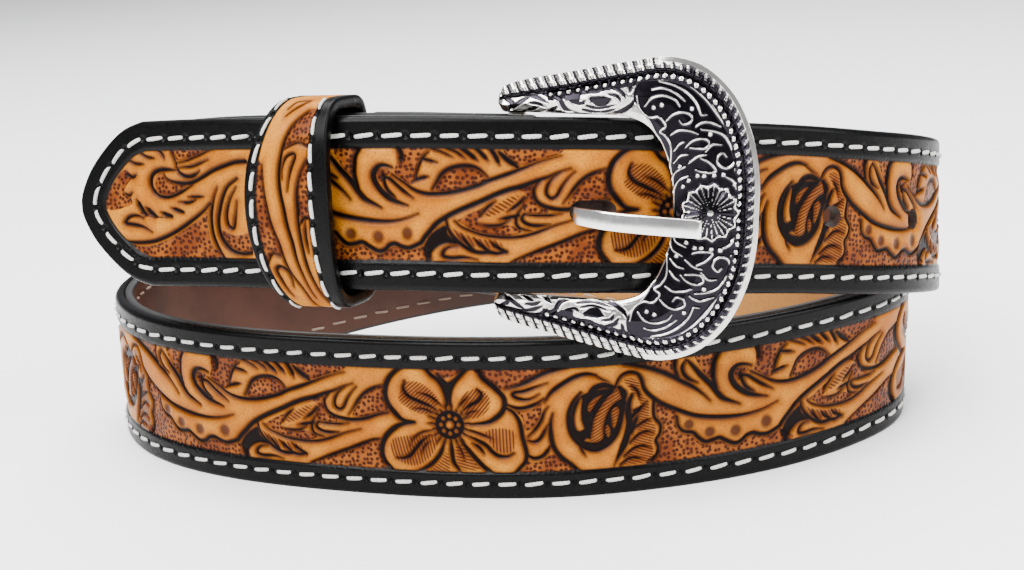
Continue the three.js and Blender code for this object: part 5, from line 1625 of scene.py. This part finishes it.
def makeTongue(finish):
    radius = strap["barRadius"] + strap["gap"] + buckle["tongueThick"] / 2
    curl = np.radians(np.linspace(340, 90, 28))
    line = np.stack([radius * np.cos(curl), radius * np.sin(curl)], -1)
    knots = [(0, radius, 0)] + [(a * buckle["tongueReach"], l * billetLevel, 0) for a, l in tongueRows]
    shank = chordalCurve(knots, np.linspace(0, 1, 60)[1:])[:, :2]
    line = np.concatenate([line, shank])
    slope = unit(np.gradient(line, axis=0))
    wide, thick, bevel = buckle["tongueWidth"] / 2, buckle["tongueThick"] / 2, 0.45
    arc = np.linspace(0, math.pi / 2, 5)
    corner = [(bevel - bevel * math.cos(a), bevel - bevel * math.sin(a)) for a in arc]
    section = [(-wide + x, -thick + y) for x, y in corner] + [(wide - x, -thick + y) for x, y in corner[::-1]]
    section += [(wide - x, thick - y) for x, y in corner] + [(-wide + x, thick - y) for x, y in corner[::-1]]
    side, lift = np.array(section).T
    drop = -strap["holeDrop"] - buckle["tongueDrop"] * np.maximum(0, line[:, 0]) / buckle["tongueReach"]
    along, level = line[:, :1] - slope[:, 1:] * lift, line[:, 1:] + slope[:, :1] * lift
    points = inBuckle(along, drop[:, None] + side, level).reshape(-1, 3)
    plainMetal("buckle_tongue_bar", points, (len(line), len(section)), finish, "plain_steel", "buckle_tongue")


def silverFinish():
    f = Finish("engraved_silver")
    place = f.add("ShaderNodeTexCoord", {}, output=3)
    tarnishAndReflection, fine = f.attribute("tarnishAndReflection"), f.noise(place, 420.0, 4.0, 0.7)
    # black where the tarnish lies, and where a dark reflection is painted on the far side
    black = f.step(tarnishAndReflection + (fine - 0.5) * 0.12, -0.06, 0.12)
    silver = f.blend(f.step(fine, 0.4, 0.75) * 0.5, (0.66, 0.645, 0.61), (0.36, 0.35, 0.33))
    colour = f.blend(black, silver, (0.016, 0.014, 0.018))
    return f.surface(Base_Color=colour, Metallic=1.0, Roughness=f.step(fine, 0.3, 0.8, 0.15, 0.28),
                     Normal=f.bump(fine * 0.02, 0.4))


print("making the leathers")
tooledFinish = tooledLeather("tooled_tan", leatherLook)
for name, rows in tooledPieces.items():
    makeStrap(name, rows, tooledFinish)
    print("made", name)
liningFinish = liningLeather(liningLook)
for name, (start, end) in liningPieces.items():
    makeLining(name, start, end, liningFinish)
makeHoleWalls(holeShadeFinish())
thread = threadFinish("white_thread", (0.52, 0.51, 0.48))
makeStitches("stitches_front", False, thread)
# the back rows' thread is drawn darker and browner than the front's
makeStitches("stitches_lining", True, threadFinish("darker_back_thread", (0.34, 0.24, 0.18)), steps=6, sides=6)
print("made the stitches")
makeKeeper(tooledFinish)
makeKeeperStitches(thread)
print("made the keeper")
silver = silverFinish()
makeHorseshoe(silver)
makeBar(silver)
makeTongue(steelFinish())
print("made the buckle")

# Surroundings
floorReach = 6000
corners = [(x * floorReach, y * floorReach, 0) for x, y in ((-1, -1), (1, -1), (1, 1), (-1, 1))]
floor = makeMesh("surface", corners, [[0, 1, 2, 3]], finish=floorFinish())


def makeCamera():
    camera = bpy.data.objects.new("camera", bpy.data.cameras.new("camera"))
    camera.data.lens, camera.data.sensor_width = view["lens"], view["sensor"]
    camera.data.clip_start = 0.01
    right, up, back = np.array(view["right"]), np.array(view["up"]), -np.array(view["forward"])
    matrix = np.eye(4)
    matrix[:3, 0], matrix[:3, 1], matrix[:3, 2] = right, up, back
    matrix[:3, 3] = np.array(view["place"]) * mm
    camera.matrix_world = Matrix(matrix.tolist())
    bpy.context.scene.collection.objects.link(camera)
    bpy.context.scene.camera = camera


# each light: its place and size in metres, its power in watts
lights = {
    "key": {"place": (-0.55, -0.75, 1.0), "size": 0.9, "power": 48},
    "fill": {"place": (0.9, -0.6, 0.7), "size": 0.9, "power": 22},
    "top": {"place": (0.0, 0.25, 1.2), "size": 1.2, "power": 48},
}


def makeLights():
    for name, light in lights.items():
        lamp = bpy.data.lights.new(name, "AREA")
        lamp.energy, lamp.size = light["power"], light["size"]
        holder = bpy.data.objects.new(name, lamp)
        toward = -np.array(light["place"]) + (0, 0, 0.05)
        holder.rotation_euler = Vector(toward).to_track_quat("-Z", "Y").to_euler()
        holder.location = light["place"]
        bpy.context.scene.collection.objects.link(holder)
    world = bpy.data.worlds.new("studio")
    world.use_nodes = True
    background = world.node_tree.nodes["Background"]
    background.inputs["Color"].default_value = (0.95, 0.96, 1.0, 1)
    background.inputs["Strength"].default_value = 0.45
    bpy.context.scene.world = world


makeCamera()
makeLights()
